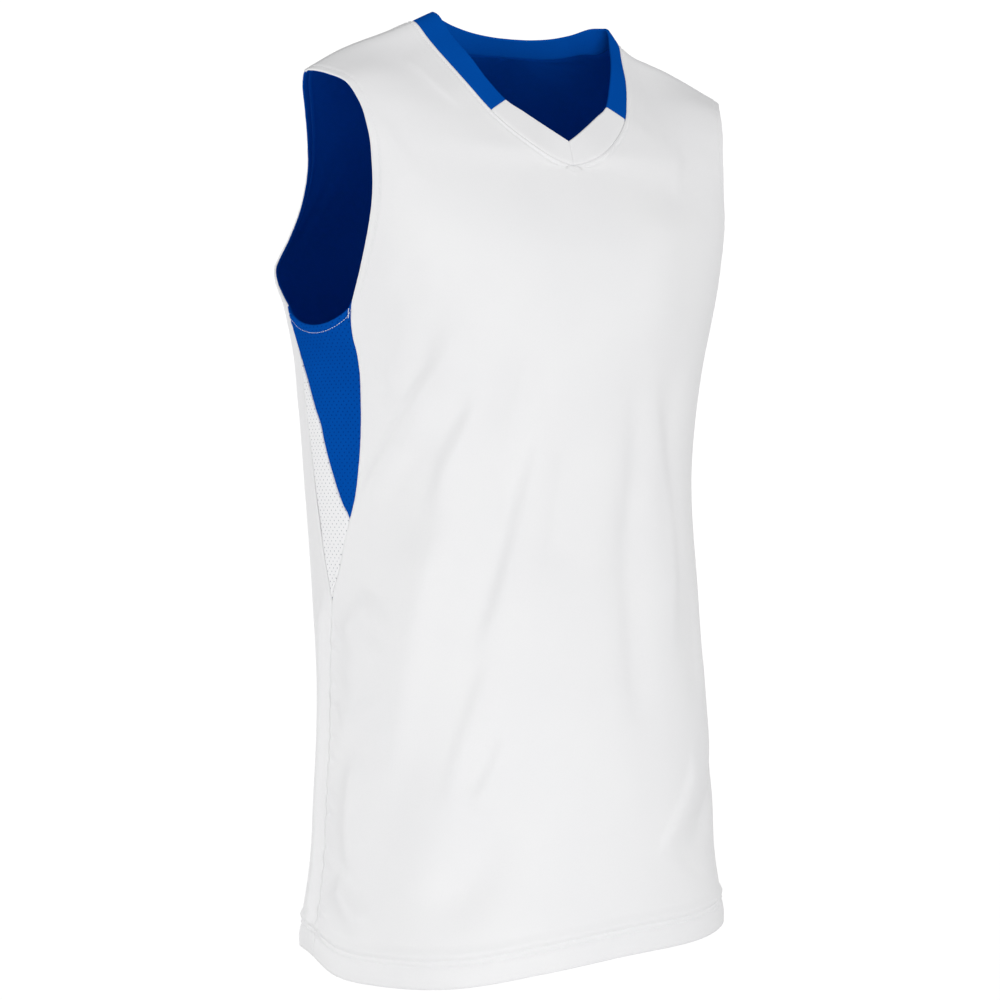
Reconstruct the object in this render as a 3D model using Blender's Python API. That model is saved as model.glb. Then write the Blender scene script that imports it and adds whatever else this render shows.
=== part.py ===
"""A reversible basketball jersey: sleeveless, V-necked, hollow and filled out.

It hangs from the tops of its shoulders, which are the origin. +Z is up, the front faces -Y and
+X is the wearer's left. Lengths are metres, angles are degrees round the body from the centre front.
Each ply of cloth is a closed wall, lofted between an outside and an inside grid of points.
"""

import math

import bpy
import numpy as np

COLLECTION = "basketball_jersey"

# Cloth
CLOTH = 0.0012            # outer ply
LINING = 0.0010           # inner ply
GAP = 0.0003              # between neighbours at a seam, and between the plies
SIDE_EASE = 0.0009        # the inner ply hangs this much freer at the sides
HEM_TURN = 0.024          # height of the turned hem
HEM_WALL = 0.0024         # cloth doubled in the hem
HEM_STEP = 0.004          # height over which the doubled cloth thins to one ply
BAND_PROUD = 0.0003       # the neckband stands this far out of the panels
BAND_WALL = CLOTH + GAP + LINING
EASE_SPREAD = 0.06        # the inner ply's ease dies out this far from the side line
EASE_TOP = -0.12          # height where that ease starts, and the height over which it grows
EASE_GROWTH = 0.08

# Grid sizes, counted over half a panel
YOKE_ROWS = 5             # rows from the corners up to where the neck opens
FRONT_COLUMNS = 8
BACK_COLUMNS = 7
BLUE_COLUMNS = 4
WHITE_COLUMNS = 2
LINING_SIDE_COLUMNS = 3
BAND_COLUMNS = 2

CORNER_Z = -0.232         # where the armhole's straight edges meet the side inserts
ARMHOLE_DIP = 0.0178      # how far the armhole sinks between those corners
SAG_POWER = 0.6           # below 1, so that the armhole's bottom is broad
GIRTH_RADIUS = 0.155      # turns an angle round the body into a length of cloth
INSIDE_POINT = (0.0, 0.02, -0.25)

# Body sections: height, half width, depth to the front and back of a centre, its y, squareness
SECTIONS = (
    (-0.800, 0.1965, 0.1280, 0.1280, 0.0090, 0.020),
    (-0.747, 0.1935, 0.1260, 0.1260, 0.0095, 0.020),
    (-0.689, 0.1862, 0.1212, 0.1212, 0.0095, 0.015),
    (-0.640, 0.1848, 0.1200, 0.1200, 0.0080, 0.010),
    (-0.557, 0.1802, 0.1170, 0.1170, 0.0105, 0.010),
    (-0.474, 0.1792, 0.1168, 0.1168, 0.0195, 0.010),
    (-0.362, 0.1810, 0.1180, 0.1205, 0.0310, 0.010),
    (-0.310, 0.1852, 0.1185, 0.1265, 0.0295, 0.012),
    (-0.267, 0.1900, 0.1205, 0.1315, 0.0265, 0.015),
    (-0.232, 0.1985, 0.1245, 0.1330, 0.0265, 0.015),
    (-0.200, 0.2040, 0.1265, 0.1330, 0.0265, 0.015),
)

# Side seams: height, then the angles of the insert's front seam, of the line between its
# two colours and of its back seam. They meet in one side seam under the insert.
SEAMS = (
    (-0.800, 93.5, 93.5, 93.5),
    (-0.690, 93.0, 93.0, 93.0),
    (-0.600, 92.4, 92.4, 92.4),
    (-0.538, 91.6, 91.6, 91.6),
    (-0.500, 89.4, 89.4, 89.4),
    (-0.474, 87.4, 87.4, 87.4),
    (-0.4698, 87.0, 87.0, 87.8),
    (-0.4497, 82.2, 82.2, 89.8),
    (-0.430, 78.8, 78.8, 91.6),
    (-0.410, 75.2, 75.2, 92.8),
    (-0.4066, 74.5, 74.9, 93.0),
    (-0.3952, 72.3, 77.6, 93.6),
    (-0.3669, 69.5, 82.5, 95.0),
    (-0.3351, 67.7, 87.4, 96.8),
    (-0.3144, 67.2, 91.1, 98.0),
    (-0.2932, 67.2, 95.4, 99.3),
    (-0.275, 68.0, 99.9, 100.3),
    (-0.260, 69.0, 102.6, 102.6),
    (-0.248, 68.6, 103.8, 103.8),
    (-0.232, 67.0, 104.5, 104.5),
)
WHITE_TOP, BLUE_TIP, WHITE_TIP = -0.275, -0.4066, -0.4698

# Heights of the grid rows up the body. The seam points above are among them.
LEVELS = (
    -0.700, -0.674, -0.648, -0.623, -0.598, -0.573, -0.548, -0.523, -0.498, -0.474,
    -0.4698, -0.4497, -0.430, -0.410, -0.4066, -0.3952, -0.3669, -0.3351, -0.3144, -0.2932,
    -0.275, -0.260, -0.248, -0.232,
)
SEAMS_MEET = -0.474       # the side insert's two seams are one below this
HEM_ROWS = 3              # rows below the lowest level
LEVEL_DIP = {-0.260: 0.4, -0.248: 0.7, -0.232: 1.0}   # share of the armhole's dip

# Hem line: signed angle (the wearer's left is positive), height
HEM = (
    (-180.0, -0.757),
    (-125.0, -0.7605),
    (-94.0, -0.7610),
    (-82.0, -0.7715),
    (-62.0, -0.777),
    (-38.0, -0.778),
    (-15.0, -0.770),
    (5.0, -0.763),
    (30.0, -0.7598),
    (66.0, -0.7523),
    (94.0, -0.753),
    (130.0, -0.757),
    (180.0, -0.757),
)

# Neckband, half of it: share of the way from the centre front to the centre back,
# the seam to the panels (x, y, z), the free edge (x, y, z)
NECK = (
    (0.00, 0.0000, -0.0730, -0.1165, 0.0000, -0.0667, -0.0955),
    (0.08, 0.0154, -0.0722, -0.1123, 0.0105, -0.0640, -0.0893),
    (0.18, 0.0343, -0.0700, -0.1030, 0.0245, -0.0590, -0.0803),
    (0.27, 0.0519, -0.0630, -0.0900, 0.0375, -0.0545, -0.0716),
    (0.37, 0.0686, -0.0531, -0.0730, 0.0511, -0.0493, -0.0622),
    (0.46, 0.0807, -0.0405, -0.0538, 0.0624, -0.0396, -0.0456),
    (0.55, 0.0917, -0.0261, -0.0334, 0.0727, -0.0287, -0.0263),
    (0.64, 0.1013, -0.0125, -0.0135, 0.0826, -0.0138, -0.0064),
    (0.69, 0.1060, -0.0050, -0.0020, 0.0877, -0.0050, 0.0085),
    (0.72, 0.1070, 0.0000, 0.0000, 0.0890, 0.0000, 0.0115),
    (0.75, 0.1060, 0.0050, -0.0010, 0.0882, 0.0045, 0.0120),
    (0.80, 0.0980, 0.0150, -0.0060, 0.0815, 0.0100, 0.0110),
    (0.87, 0.0740, 0.0240, -0.0100, 0.0615, 0.0145, 0.0065),
    (0.94, 0.0380, 0.0290, -0.0125, 0.0315, 0.0160, 0.0015),
    (0.97, 0.0192, 0.0298, -0.0129, 0.0159, 0.0160, 0.0000),
    (1.00, 0.0000, 0.0300, -0.0130, 0.0000, 0.0160, -0.0005),
)
COLOUR_JOIN = 0.37        # share where the white V meets the blue of the band
SHOULDER = 0.72           # share of the shoulder seam

# Armhole edge above the corners: share, x, y, z. The shoulder tip is at 0.5.
ARMHOLE = (
    (0.06, 0.1830, -0.0345, -0.2066),
    (0.16, 0.1805, -0.0473, -0.1589),
    (0.25, 0.1797, -0.0480, -0.1240),
    (0.32, 0.1811, -0.0460, -0.0977),
    (0.38, 0.1861, -0.0390, -0.0743),
    (0.42, 0.1919, -0.0287, -0.0585),
    (0.455, 0.2000, -0.0169, -0.0512),
    (0.487, 0.2092, -0.0045, -0.0468),
    (0.50, 0.2120, 0.0000, -0.0470),
    (0.513, 0.2112, 0.0045, -0.0480),
    (0.54, 0.2040, 0.0195, -0.0550),
    (0.59, 0.1912, 0.0385, -0.0719),
    (0.65, 0.1815, 0.0510, -0.0957),
    (0.71, 0.1762, 0.0600, -0.1221),
    (0.77, 0.1765, 0.0705, -0.1500),
    (0.83, 0.1795, 0.0847, -0.1750),
    (0.88, 0.1855, 0.0952, -0.1977),
    (0.92, 0.1880, 0.0880, -0.2110),
    (0.96, 0.1895, 0.0768, -0.2220),
)

# Centre lines above the corners: share of the yoke, y, z. The last point is the neck seam.
CENTRE_FRONT = ((0.20, -0.0935, -0.1800), (0.42, -0.0730, -0.1165))
CENTRE_BACK = (
    (0.20, 0.1475, -0.1650),
    (0.40, 0.1200, -0.1050),
    (0.55, 0.0790, -0.0520),
    (0.66, 0.0300, -0.0130),
)
SEAM_ARCH = 0.012         # the shoulder seam bows up by a quarter of this
NECK_SLACK = 0.6          # share by which a row's curve flattens at the neck, towards the shoulder
ASKEW_BOTTOM = -0.12      # height where the shoulders start to hang askew, and the height
ASKEW_GROWTH = 0.10       # over which it grows

# How far the shoulders hang off true: x, then how far sideways and up
ASKEW = (
    (-0.250, -0.0010, -0.0005),
    (-0.212, -0.0010, 0.0000),
    (-0.185, 0.0000, 0.0022),
    (-0.135, 0.0000, 0.0012),
    (-0.107, -0.0035, 0.0015),
    (-0.088, 0.0000, 0.0000),
    (-0.060, 0.0000, -0.0015),
    (0.000, 0.0000, 0.0000),
    (0.060, 0.0000, 0.0020),
    (0.080, 0.0000, 0.0045),
    (0.090, -0.0012, 0.0030),
    (0.107, -0.0080, 0.0010),
    (0.120, -0.0060, -0.0030),
    (0.135, -0.0035, -0.0024),
    (0.150, -0.0020, -0.0008),
    (0.170, -0.0010, 0.0010),
    (0.190, 0.0000, 0.0030),
    (0.210, 0.0000, 0.0065),
    (0.250, 0.0000, 0.0065),
)

# Largest folds: girth and height of both ends, half width, depth (negative is a trough).
# Girth is the length of cloth from the centre front, and the wearer's left is positive.
FOLDS = (
    (-0.095, -0.255, -0.178, -0.395, 0.016, -0.0040),
    (-0.112, -0.300, -0.200, -0.440, 0.015, 0.0035),
    (-0.083, -0.290, -0.192, -0.428, 0.014, -0.0040),
    (-0.060, -0.330, -0.150, -0.480, 0.018, 0.0030),
    (-0.030, -0.315, -0.107, -0.550, 0.017, -0.0040),
    (-0.072, -0.575, -0.108, -0.632, 0.016, -0.0030),
    (0.050, -0.362, 0.021, -0.490, 0.015, -0.0025),
    (0.090, -0.240, 0.086, -0.470, 0.018, -0.0030),
    (-0.070, -0.645, -0.128, -0.735, 0.022, -0.0030),
    (0.190, -0.600, 0.085, -0.690, 0.014, -0.0030),
    (-0.150, -0.560, -0.185, -0.720, 0.022, -0.0035),
    (-0.140, -0.205, -0.116, -0.230, 0.012, -0.0020),
    (0.330, -0.330, 0.400, -0.520, 0.020, -0.0035),
    (-0.320, -0.300, -0.400, -0.500, 0.020, -0.0040),
    (0.370, -0.480, 0.415, -0.700, 0.024, -0.0040),
    (-0.360, -0.600, -0.420, -0.720, 0.022, -0.0030),
    (0.215, -0.430, 0.170, -0.540, 0.015, -0.0030),
)
FOLD_FADE = 0.35          # share of a fold's length over which each end fades out

# Small steps along surfaces, for their tangents and normals
SHARE_STEP = 1e-3
ACROSS_STEP = 1e-2
ANGLE_STEP = 0.05
HEIGHT_STEP = 1e-4
ON_BORDER = 1e-6          # shares this close to a border are on it
WELD_SCALE = 1e6          # grid points that agree to a micrometre are one
SHARP_ANGLE = 50


def track(table, at):
    """Smooth curve through a table whose first column is the way along it."""
    rows = np.array(table, float)
    knots, values = rows[:, 0], rows[:, 1:]
    step = np.diff(knots)
    slope = np.diff(values, axis=0) / step[:, None]
    before, after = step[:-1, None], step[1:, None]
    middle = (slope[:-1] * after + slope[1:] * before) / (before + after)
    tangent = np.concatenate([slope[:1], middle, slope[-1:]])
    at = np.clip(np.asarray(at, float), knots[0], knots[-1])
    i = np.clip(np.searchsorted(knots, at, side="right") - 1, 0, len(step) - 1)
    s = ((at - knots[i]) / step[i])[..., None]
    reach = step[i][..., None]
    return hermite(values[i], values[i + 1], reach * tangent[i], reach * tangent[i + 1], s)


def hermite(start, end, leave, arrive, s):
    """Cubic from start to end, leaving and arriving with the given tangents."""
    return (
        (2 * s**3 - 3 * s**2 + 1) * start
        + (s**3 - 2 * s**2 + s) * leave
        + (3 * s**2 - 2 * s**3) * end
        + (s**3 - s**2) * arrive
    )


def smooth(x):
    x = np.clip(x, 0, 1)
    return x * x * (3 - 2 * x)


def unit(vectors):
    return vectors / np.linalg.norm(vectors, axis=-1, keepdims=True)


def ring(angle, z):
    """Point on the body's section at height z."""
    half, front, back, centre, square = np.moveaxis(track(SECTIONS, z), -1, 0)
    a = np.radians(angle)
    depth = np.where(np.cos(a) > 0, front, back)
    x = half * (np.sin(a) + square * np.sin(3 * a)) / (1 - square)
    y = centre - depth * (np.cos(a) - square * np.cos(3 * a)) / (1 - square)
    return np.stack(np.broadcast_arrays(x, y, z), -1)


def seam_angles(z):
    return np.moveaxis(track(SEAMS, z), -1, 0)


def neck_seam(share):
    return track(NECK, share)[..., :3]


def neck_edge(share):
    return track(NECK, share)[..., 3:]


def armhole(share):
    """Armhole edge from the front corner (0) over the tip (0.5) to the back corner (1)."""
    front, _, back = seam_angles(CORNER_Z)
    first, last = ring(front, CORNER_Z), ring(back, CORNER_Z)
    return track(((0.0, *first), *ARMHOLE, (1.0, *last)), share)


def neck_share(is_front, above):
    """Share round the neckband of a place on a panel's neck seam, from its lowest point (0) to
    the shoulder (1)."""
    return above * SHOULDER if is_front else 1 - above * (1 - SHOULDER)


def yoke(is_front, u, w):
    """Panel above the corners: u runs from its centre or neck to the armhole, w from 0 to the
    shoulder seam at 1. Each row is a cubic, which starts as the body's section and ends straight."""
    u, w = np.broadcast_arrays(np.asarray(u, float), np.asarray(w, float))
    front, _, back = seam_angles(CORNER_Z)
    centre_angle, seam_angle = (0.0, front) if is_front else (180.0, back)
    centre_rows = CENTRE_FRONT if is_front else CENTRE_BACK
    opens = centre_rows[-1][0]
    first = ring(centre_angle, CORNER_Z)
    centre = track(((0.0, *first[1:]), *centre_rows), np.minimum(w, opens))
    centre = np.concatenate([np.zeros(centre.shape[:-1] + (1,)), centre], -1)
    share = neck_share(is_front, (w - opens) / (1 - opens))
    inner = np.where((w <= opens)[..., None], centre, neck_seam(share))
    outer = armhole(w / 2 if is_front else 1 - w / 2)
    nudge = SHARE_STEP * (seam_angle - centre_angle)
    last = ring(seam_angle, CORNER_Z)
    chord = (np.linalg.norm(outer - inner, axis=-1) / np.linalg.norm(last - first))[..., None]
    leave = (ring(centre_angle + nudge, CORNER_Z) - first) / SHARE_STEP
    leave = leave * chord * (1 - NECK_SLACK * w[..., None])
    arrive = (last - ring(seam_angle - nudge, CORNER_Z)) / SHARE_STEP * chord
    straight = armhole(0.5) - neck_seam(SHOULDER)
    arch = np.array([0.0, 0.0, SEAM_ARCH])
    bare = 0.0 if is_front else opens
    blend = smooth((w - bare) / (1 - bare))[..., None]
    leave = leave * (1 - blend) + (straight + arch) * blend
    blend = smooth(w)[..., None]
    arrive = arrive * (1 - blend) + (straight - arch) * blend
    return hermite(inner, outer, leave, arrive, u[..., None])


def fold_depth(girth, z):
    """How far the folds push the cloth out at a place on it."""
    total = np.zeros(np.shape(girth))
    for g0, z0, g1, z1, width, depth in FOLDS:
        run = np.array([g1 - g0, z1 - z0])
        length = np.linalg.norm(run)
        along = ((girth - g0) * run[0] + (z - z0) * run[1]) / length
        across = ((girth - g0) * run[1] - (z - z0) * run[0]) / length
        fade = FOLD_FADE * length
        ends = smooth(along / fade) * smooth((length - along) / fade)
        total += depth * ends * np.exp(-((across / width) ** 2))
    return total


def hang(side, points):
    """Places a point of the half garment on its side, sets the shoulders askew and folds it."""
    points = points * np.array([side, 1.0, 1.0])
    half, front, _, centre, _ = np.moveaxis(track(SECTIONS, points[..., 2]), -1, 0)
    angle = np.arctan2(points[..., 0] / half, (centre - points[..., 1]) / front)
    outward = np.stack([np.sin(angle), -np.cos(angle), 0 * angle], -1)
    depth = fold_depth(angle * GIRTH_RADIUS, points[..., 2])
    growth = smooth((points[..., 2] - ASKEW_BOTTOM) / ASKEW_GROWTH)
    askew = track(ASKEW, points[..., 0]) * growth[..., None]
    shift = np.stack([askew[..., 0], 0 * depth, askew[..., 1]], -1)
    return points + outward * depth[..., None] + shift


def outward_normals(surface, u, v, du, dv):
    """Normals of a surface(u, v) from differences over du and dv, which stay on the surface."""
    across = surface(u + du, v) - surface(u, v)
    along = surface(u, v + dv) - surface(u, v)
    normal = unit(np.cross(across, along))
    away = surface(u, v) - np.array(INSIDE_POINT)
    return normal * np.sign((normal * away).sum(-1, keepdims=True))


def inward_step(share, size):
    """A step that stays between the borders at 0 and 1."""
    return np.where(share < 0.5, size, -size)


def body_grid(side, angle, z):
    """Points and normals of the body below the corners."""
    def surface(a, height):
        return hang(side, ring(a, height))
    return surface(angle, z), outward_normals(surface, angle, z, ANGLE_STEP, HEIGHT_STEP)


def yoke_grid(side, is_front, u, w):
    """Points and normals of a panel above the corners, with the two panels' normals shared
    at the shoulder seam and with the band's at the neck seam."""
    def surface(a, b):
        return hang(side, yoke(is_front, a, b))
    du = inward_step(u, SHARE_STEP)
    points = surface(u, w)
    normals = outward_normals(surface, u, w, du, inward_step(w, SHARE_STEP))

    def other(a, b):
        return hang(side, yoke(not is_front, a, b))
    shoulder = outward_normals(other, u, w, du, np.full(w.shape, -SHARE_STEP))
    at_shoulder = (w > 1 - ON_BORDER)[..., None]
    normals = np.where(at_shoulder, unit(normals + shoulder), normals)
    opens = (CENTRE_FRONT if is_front else CENTRE_BACK)[-1][0]
    share = neck_share(is_front, np.clip((w - opens) / (1 - opens), 0, 1))
    at_neck = ((w > opens - ON_BORDER) & (u < ON_BORDER))[..., None]
    normals = np.where(at_neck, unit(normals + band_normals(side, share, 0 * share)), normals)
    return points, normals


def band_surface(side, share, across):
    """The neckband, from its seam to the panels (0) to its free edge (1)."""
    seam, edge = neck_seam(share), neck_edge(share)
    return hang(side, seam + (edge - seam) * across[..., None])


def band_normals(side, share, across):
    """Outward normals of the neckband."""
    def surface(a, b):
        return band_surface(side, a, b)
    step = inward_step(share, SHARE_STEP)
    return outward_normals(surface, share, across, step, inward_step(across, ACROSS_STEP))


def pull(points, row_or_column, end):
    """Draws one border of a grid in by half a gap, along the surface."""
    points = points if row_or_column == 0 else points.swapaxes(0, 1)
    edge, neighbour = (0, 1) if end == 0 else (-1, -2)
    points[edge] += unit(points[neighbour] - points[edge]) * GAP / 2


def open_seam(edge, normals, inward):
    """Moves a border off its neighbour by half a gap, square to the faces between the two."""
    step = unit(np.cross(normals, np.gradient(edge, axis=0)))
    edge += step * np.sign((step[-1] * inward).sum()) * GAP / 2


def wall(points, normals, out, inside):
    """Outside and inside grids of a ply, offset from the cloth's outer face."""
    out, inside = np.asarray(out, float), np.asarray(inside, float)
    return points + normals * out[..., None], points + normals * inside[..., None]


def add_cloth(name, plies, material, collection):
    """One closed wall from grids of outside and inside points, which share their edge points."""
    number = {}
    outside = []
    inside = []
    triangles = []
    for outer, inner in plies:
        index = np.empty(outer.shape[:2], int)
        for place in np.ndindex(index.shape):
            key = tuple(np.round(outer[place] * WELD_SCALE).astype(int))
            if key not in number:
                number[key] = len(outside)
                outside.append(outer[place])
                inside.append(inner[place])
            index[place] = number[key]
        a, b = index[:-1, :-1].ravel(), index[:-1, 1:].ravel()
        c, d = index[1:, 1:].ravel(), index[1:, :-1].ravel()
        found = np.concatenate([np.stack([a, b, c], 1), np.stack([a, c, d], 1)])
        has_repeat = (found == np.roll(found, 1, axis=1)).any(axis=1)
        found = found[~has_repeat]
        corners = np.array(outside)[found]
        normal = np.cross(corners[:, 1] - corners[:, 0], corners[:, 2] - corners[:, 0])
        away = np.array(outside)[found[:, 0]] - np.array(inside)[found[:, 0]]
        if (normal * away).sum() < 0:
            found = found[:, ::-1]
        triangles += found.tolist()
    count = len(outside)
    edges = [(t[i], t[(i + 1) % 3]) for t in triangles for i in range(3)]
    known = set(edges)
    faces = triangles + [[count + k for k in reversed(t)] for t in triangles]
    faces += [[b, a, count + a, count + b] for a, b in edges if (b, a) not in known]
    mesh = bpy.data.meshes.new(name)
    mesh.from_pydata([tuple(p) for p in outside + inside], [], faces)
    mesh.validate()
    mesh.shade_smooth()
    mesh.set_sharp_from_angle(angle=math.radians(SHARP_ANGLE))
    mesh.materials.append(material)
    collection.objects.link(bpy.data.objects.new(name, mesh))


def hem_rows(signed_angle):
    """Heights of the rows below the lowest level: hem edge, top of the turn, end of its step."""
    edge = track(HEM, signed_angle)[..., 0]
    return [edge, edge + HEM_TURN, edge + HEM_TURN + HEM_STEP]


def panel_rows(side, seam, columns):
    """Angles, heights and wall of a panel's rows up to the corners.
    seam names its side seam: 0 is the insert's front seam and 2 its back seam."""
    centre = 0.0 if seam == 0 else 180.0
    share = np.linspace(0, 1, columns + 1)
    low_seam = seam_angles(LEVELS[0])[seam]
    heights = hem_rows(side * (centre + (low_seam - centre) * share))
    heights += [np.full(columns + 1, level) for level in LEVELS]
    angles = [centre + (seam_angles(height)[seam] - centre) * share for height in heights]
    walls = [HEM_WALL, HEM_WALL] + [CLOTH] * (len(heights) - 2)
    return np.array(angles), np.array(heights), np.tile(walls, (columns + 1, 1)).T


def yoke_rows(is_front):
    """Heights of a panel's rows above the corners, as shares of the way to the shoulder."""
    opens = (CENTRE_FRONT if is_front else CENTRE_BACK)[-1][0]
    shares = [row[0] for row in NECK]
    if is_front:
        neck = [share / SHOULDER for share in shares if 0 < share <= SHOULDER]
    else:
        neck = [(1 - share) / (1 - SHOULDER) for share in reversed(shares) if SHOULDER <= share < 1]
    below = np.linspace(0, opens, YOKE_ROWS + 1)[1:]
    return np.concatenate([below, opens + (1 - opens) * np.array(neck)]), len(below)


def half_panel(side, is_front, columns, is_lining=False):
    """Points, normals and walls of half a front or back panel, and the row where the neck opens,
    in rows from the hem to the shoulder. It is drawn in by half a gap at its edges."""
    angle, z, thick = panel_rows(side, 0 if is_front else 2, columns)
    low, low_normals = body_grid(side, angle, z)
    rows, neck_row = yoke_rows(is_front)
    u, w = np.meshgrid(np.linspace(0, 1, columns + 1), rows)
    high, high_normals = yoke_grid(side, is_front, u, w)
    points = np.concatenate([low, high])
    normals = np.concatenate([low_normals, high_normals])
    thick = np.concatenate([thick, np.full(u.shape, CLOTH)])
    levels = len(low)
    seam_rows = HEM_ROWS + LEVELS.index(SEAMS_MEET) + 1 if is_lining else levels
    pull(points[:seam_rows], 1, 1)
    pull(points[levels:], 1, 1)
    pull(points, 0, 1)
    neck = levels + neck_row
    centre = points[neck - 1, 0] + unit(points[neck - 2, 0] - points[neck - 1, 0]) * GAP / 2
    open_seam(points[neck - 1:, 0], normals[neck - 1:, 0], points[-1, 1] - points[-1, 0])
    points[neck - 1, 0] = centre
    return points, normals, thick, neck


def both_halves(is_front, is_lining=False):
    """Both halves of a panel, with one set of normals where they meet at the centre."""
    columns = FRONT_COLUMNS if is_front else BACK_COLUMNS
    halves = [half_panel(side, is_front, columns, is_lining) for side in (-1, 1)]
    neck = halves[0][3]
    shared = unit(halves[0][1][:neck, 0] + halves[1][1][:neck, 0])
    for _, normals, _, _ in halves:
        normals[:neck, 0] = shared
    return halves


def panel(is_front):
    """Grids of the front or back panel."""
    return [
        wall(points, normals, 0 * thick, -thick)
        for points, normals, thick, _ in both_halves(is_front)
    ]


def armhole_sag(share):
    """Shape of the armhole's bottom between the corners, 0 at them and 1 at its lowest."""
    return np.sin(math.pi * np.clip(share, 0, 1)) ** SAG_POWER


def side_rows(levels, first, last, columns):
    """Angles and heights of rows between two named lines of the side. The upper rows sink with
    the armhole's bottom."""
    share = np.linspace(0, 1, columns + 1)
    angles = []
    heights = []
    for level in levels:
        front, line, back = seam_angles(level)
        ends = {"front": front, "line": line, "back": back, "side": (front + back) / 2}
        angle = ends[first] + (ends[last] - ends[first]) * share
        dip = ARMHOLE_DIP * LEVEL_DIP.get(level, 0.0)
        angles.append(angle)
        heights.append(level - dip * armhole_sag((angle - front) / max(back - front, ON_BORDER)))
    return np.array(angles), np.array(heights)


def side_insert(side, top, tip, first, last, columns):
    """Grids of a mesh wedge between two named lines of the side, drawn in all round."""
    levels = [level for level in LEVELS if tip <= level <= top]
    points, normals = body_grid(side, *side_rows(levels, first, last, columns))
    for direction in (0, 1):
        for end in (0, 1):
            pull(points, direction, end)
    flush = np.zeros(points.shape[:2])
    return [wall(points, normals, flush, flush - CLOTH)]


def lining_side(side, is_front):
    """Points and normals of the inner ply behind half a side insert, from the panel's seam to
    the side line, in rows from where the panels' seams meet."""
    levels = LEVELS[LEVELS.index(SEAMS_MEET):]
    rows = side_rows(levels, "front" if is_front else "back", "side", LINING_SIDE_COLUMNS)
    points, normals = body_grid(side, *rows)
    pull(points[1:], 1, 1)
    pull(points, 0, 1)
    return points, normals


def ease(points):
    """Extra depth of the inner ply near the sides, where it hangs free behind the inserts."""
    centre = track(SECTIONS, points[..., 2])[..., 3]
    near_side = np.exp(-(((points[..., 1] - centre) / EASE_SPREAD) ** 2))
    return SIDE_EASE * near_side * smooth((EASE_TOP - points[..., 2]) / EASE_GROWTH)


def lining(is_front):
    """Grids of the inner ply of the front or the back. It ends above the hem's turn."""
    plies = []
    first = HEM_ROWS + LEVELS.index(SEAMS_MEET)
    last = HEM_ROWS + len(LEVELS)
    halves = both_halves(is_front, is_lining=True)
    for side, (points, normals, _, _) in zip((-1, 1), halves):
        beside, beside_normals = lining_side(side, is_front)
        beside[:, 0], beside_normals[:, 0] = points[first:last, -1], normals[first:last, -1]
        beside[0], beside_normals[0] = points[first, -1], normals[first, -1]
        for grid, ways in ((points[2:], normals[2:]), (beside, beside_normals)):
            depth = CLOTH + GAP + ease(grid)
            plies.append(wall(grid, ways, -depth, -depth - LINING))
    return plies


def band(side, first, last):
    """Grids of a stretch of half the neckband between two shares of the way round."""
    shares = [row[0] for row in NECK if first <= row[0] <= last]
    across, share = np.meshgrid(np.linspace(0, 1, BAND_COLUMNS + 1), shares)
    points, normals = band_surface(side, share, across), band_normals(side, share, across)
    for k, place in enumerate(shares):
        is_front = place <= SHOULDER
        opens = (CENTRE_FRONT if is_front else CENTRE_BACK)[-1][0]
        above = place / SHOULDER if is_front else (1 - place) / (1 - SHOULDER)
        level = np.array([opens + (1 - opens) * above])
        _, seam_normals = yoke_grid(side, is_front, np.zeros(1), level)
        normals[k, 0] = seam_normals[0]
        if place in (0.0, 1.0):
            normals[k, :, 0] = 0.0
    normals = unit(normals)
    open_seam(points[:, 0], normals[:, 0], points[-1, 1] - points[-1, 0])
    if first in (0.0, COLOUR_JOIN):
        pull(points, 0, 0)
    if last == COLOUR_JOIN:
        pull(points, 0, 1)
    flush = np.zeros(share.shape)
    return wall(points, normals, flush + BAND_PROUD, flush - BAND_WALL)


def band_round():
    """Grids of the blue band: both sides from the colour joins, one at the centre back."""
    sides = [band(side, COLOUR_JOIN, 1.0) for side in (-1, 1)]
    for right, left in zip(*sides):
        right[-1] = left[-1] = (right[-1] + left[-1]) / 2
    return sides


def material(name, colour, roughness):
    made = bpy.data.materials.new(name)
    made.use_nodes = True
    shader = made.node_tree.nodes["Principled BSDF"]
    shader.inputs["Base Color"].default_value = (*colour, 1.0)
    shader.inputs["Roughness"].default_value = roughness
    shader.inputs["Metallic"].default_value = 0.0
    return made


def main():
    for obj in list(bpy.data.objects):
        bpy.data.objects.remove(obj, do_unlink=True)
    collection = bpy.data.collections.new(COLLECTION)
    bpy.context.scene.collection.children.link(collection)
    white = material("white_knit", (0.86, 0.86, 0.87), 0.75)
    white_mesh = material("white_mesh", (0.78, 0.79, 0.80), 0.8)
    blue = material("blue_knit", (0.005, 0.06, 0.33), 0.7)
    blue_mesh = material("blue_mesh", (0.004, 0.055, 0.31), 0.75)
    blue_lining = material("blue_lining", (0.003, 0.03, 0.20), 0.75)
    add_cloth("front_panel", panel(True), white, collection)
    add_cloth("back_panel", panel(False), white, collection)
    add_cloth("lining_front", lining(True), blue_lining, collection)
    add_cloth("lining_back", lining(False), blue_lining, collection)
    add_cloth("neckband_blue", band_round(), blue, collection)
    for side, name in ((-1, "right"), (1, "left")):
        add_cloth("neckband_white_" + name, [band(side, 0.0, COLOUR_JOIN)], white, collection)
        blue_grid = side_insert(side, CORNER_Z, BLUE_TIP, "front", "line", BLUE_COLUMNS)
        add_cloth("side_mesh_blue_" + name, blue_grid, blue_mesh, collection)
        white_grid = side_insert(side, WHITE_TOP, WHITE_TIP, "line", "back", WHITE_COLUMNS)
        add_cloth("side_mesh_white_" + name, white_grid, white_mesh, collection)


main()
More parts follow.
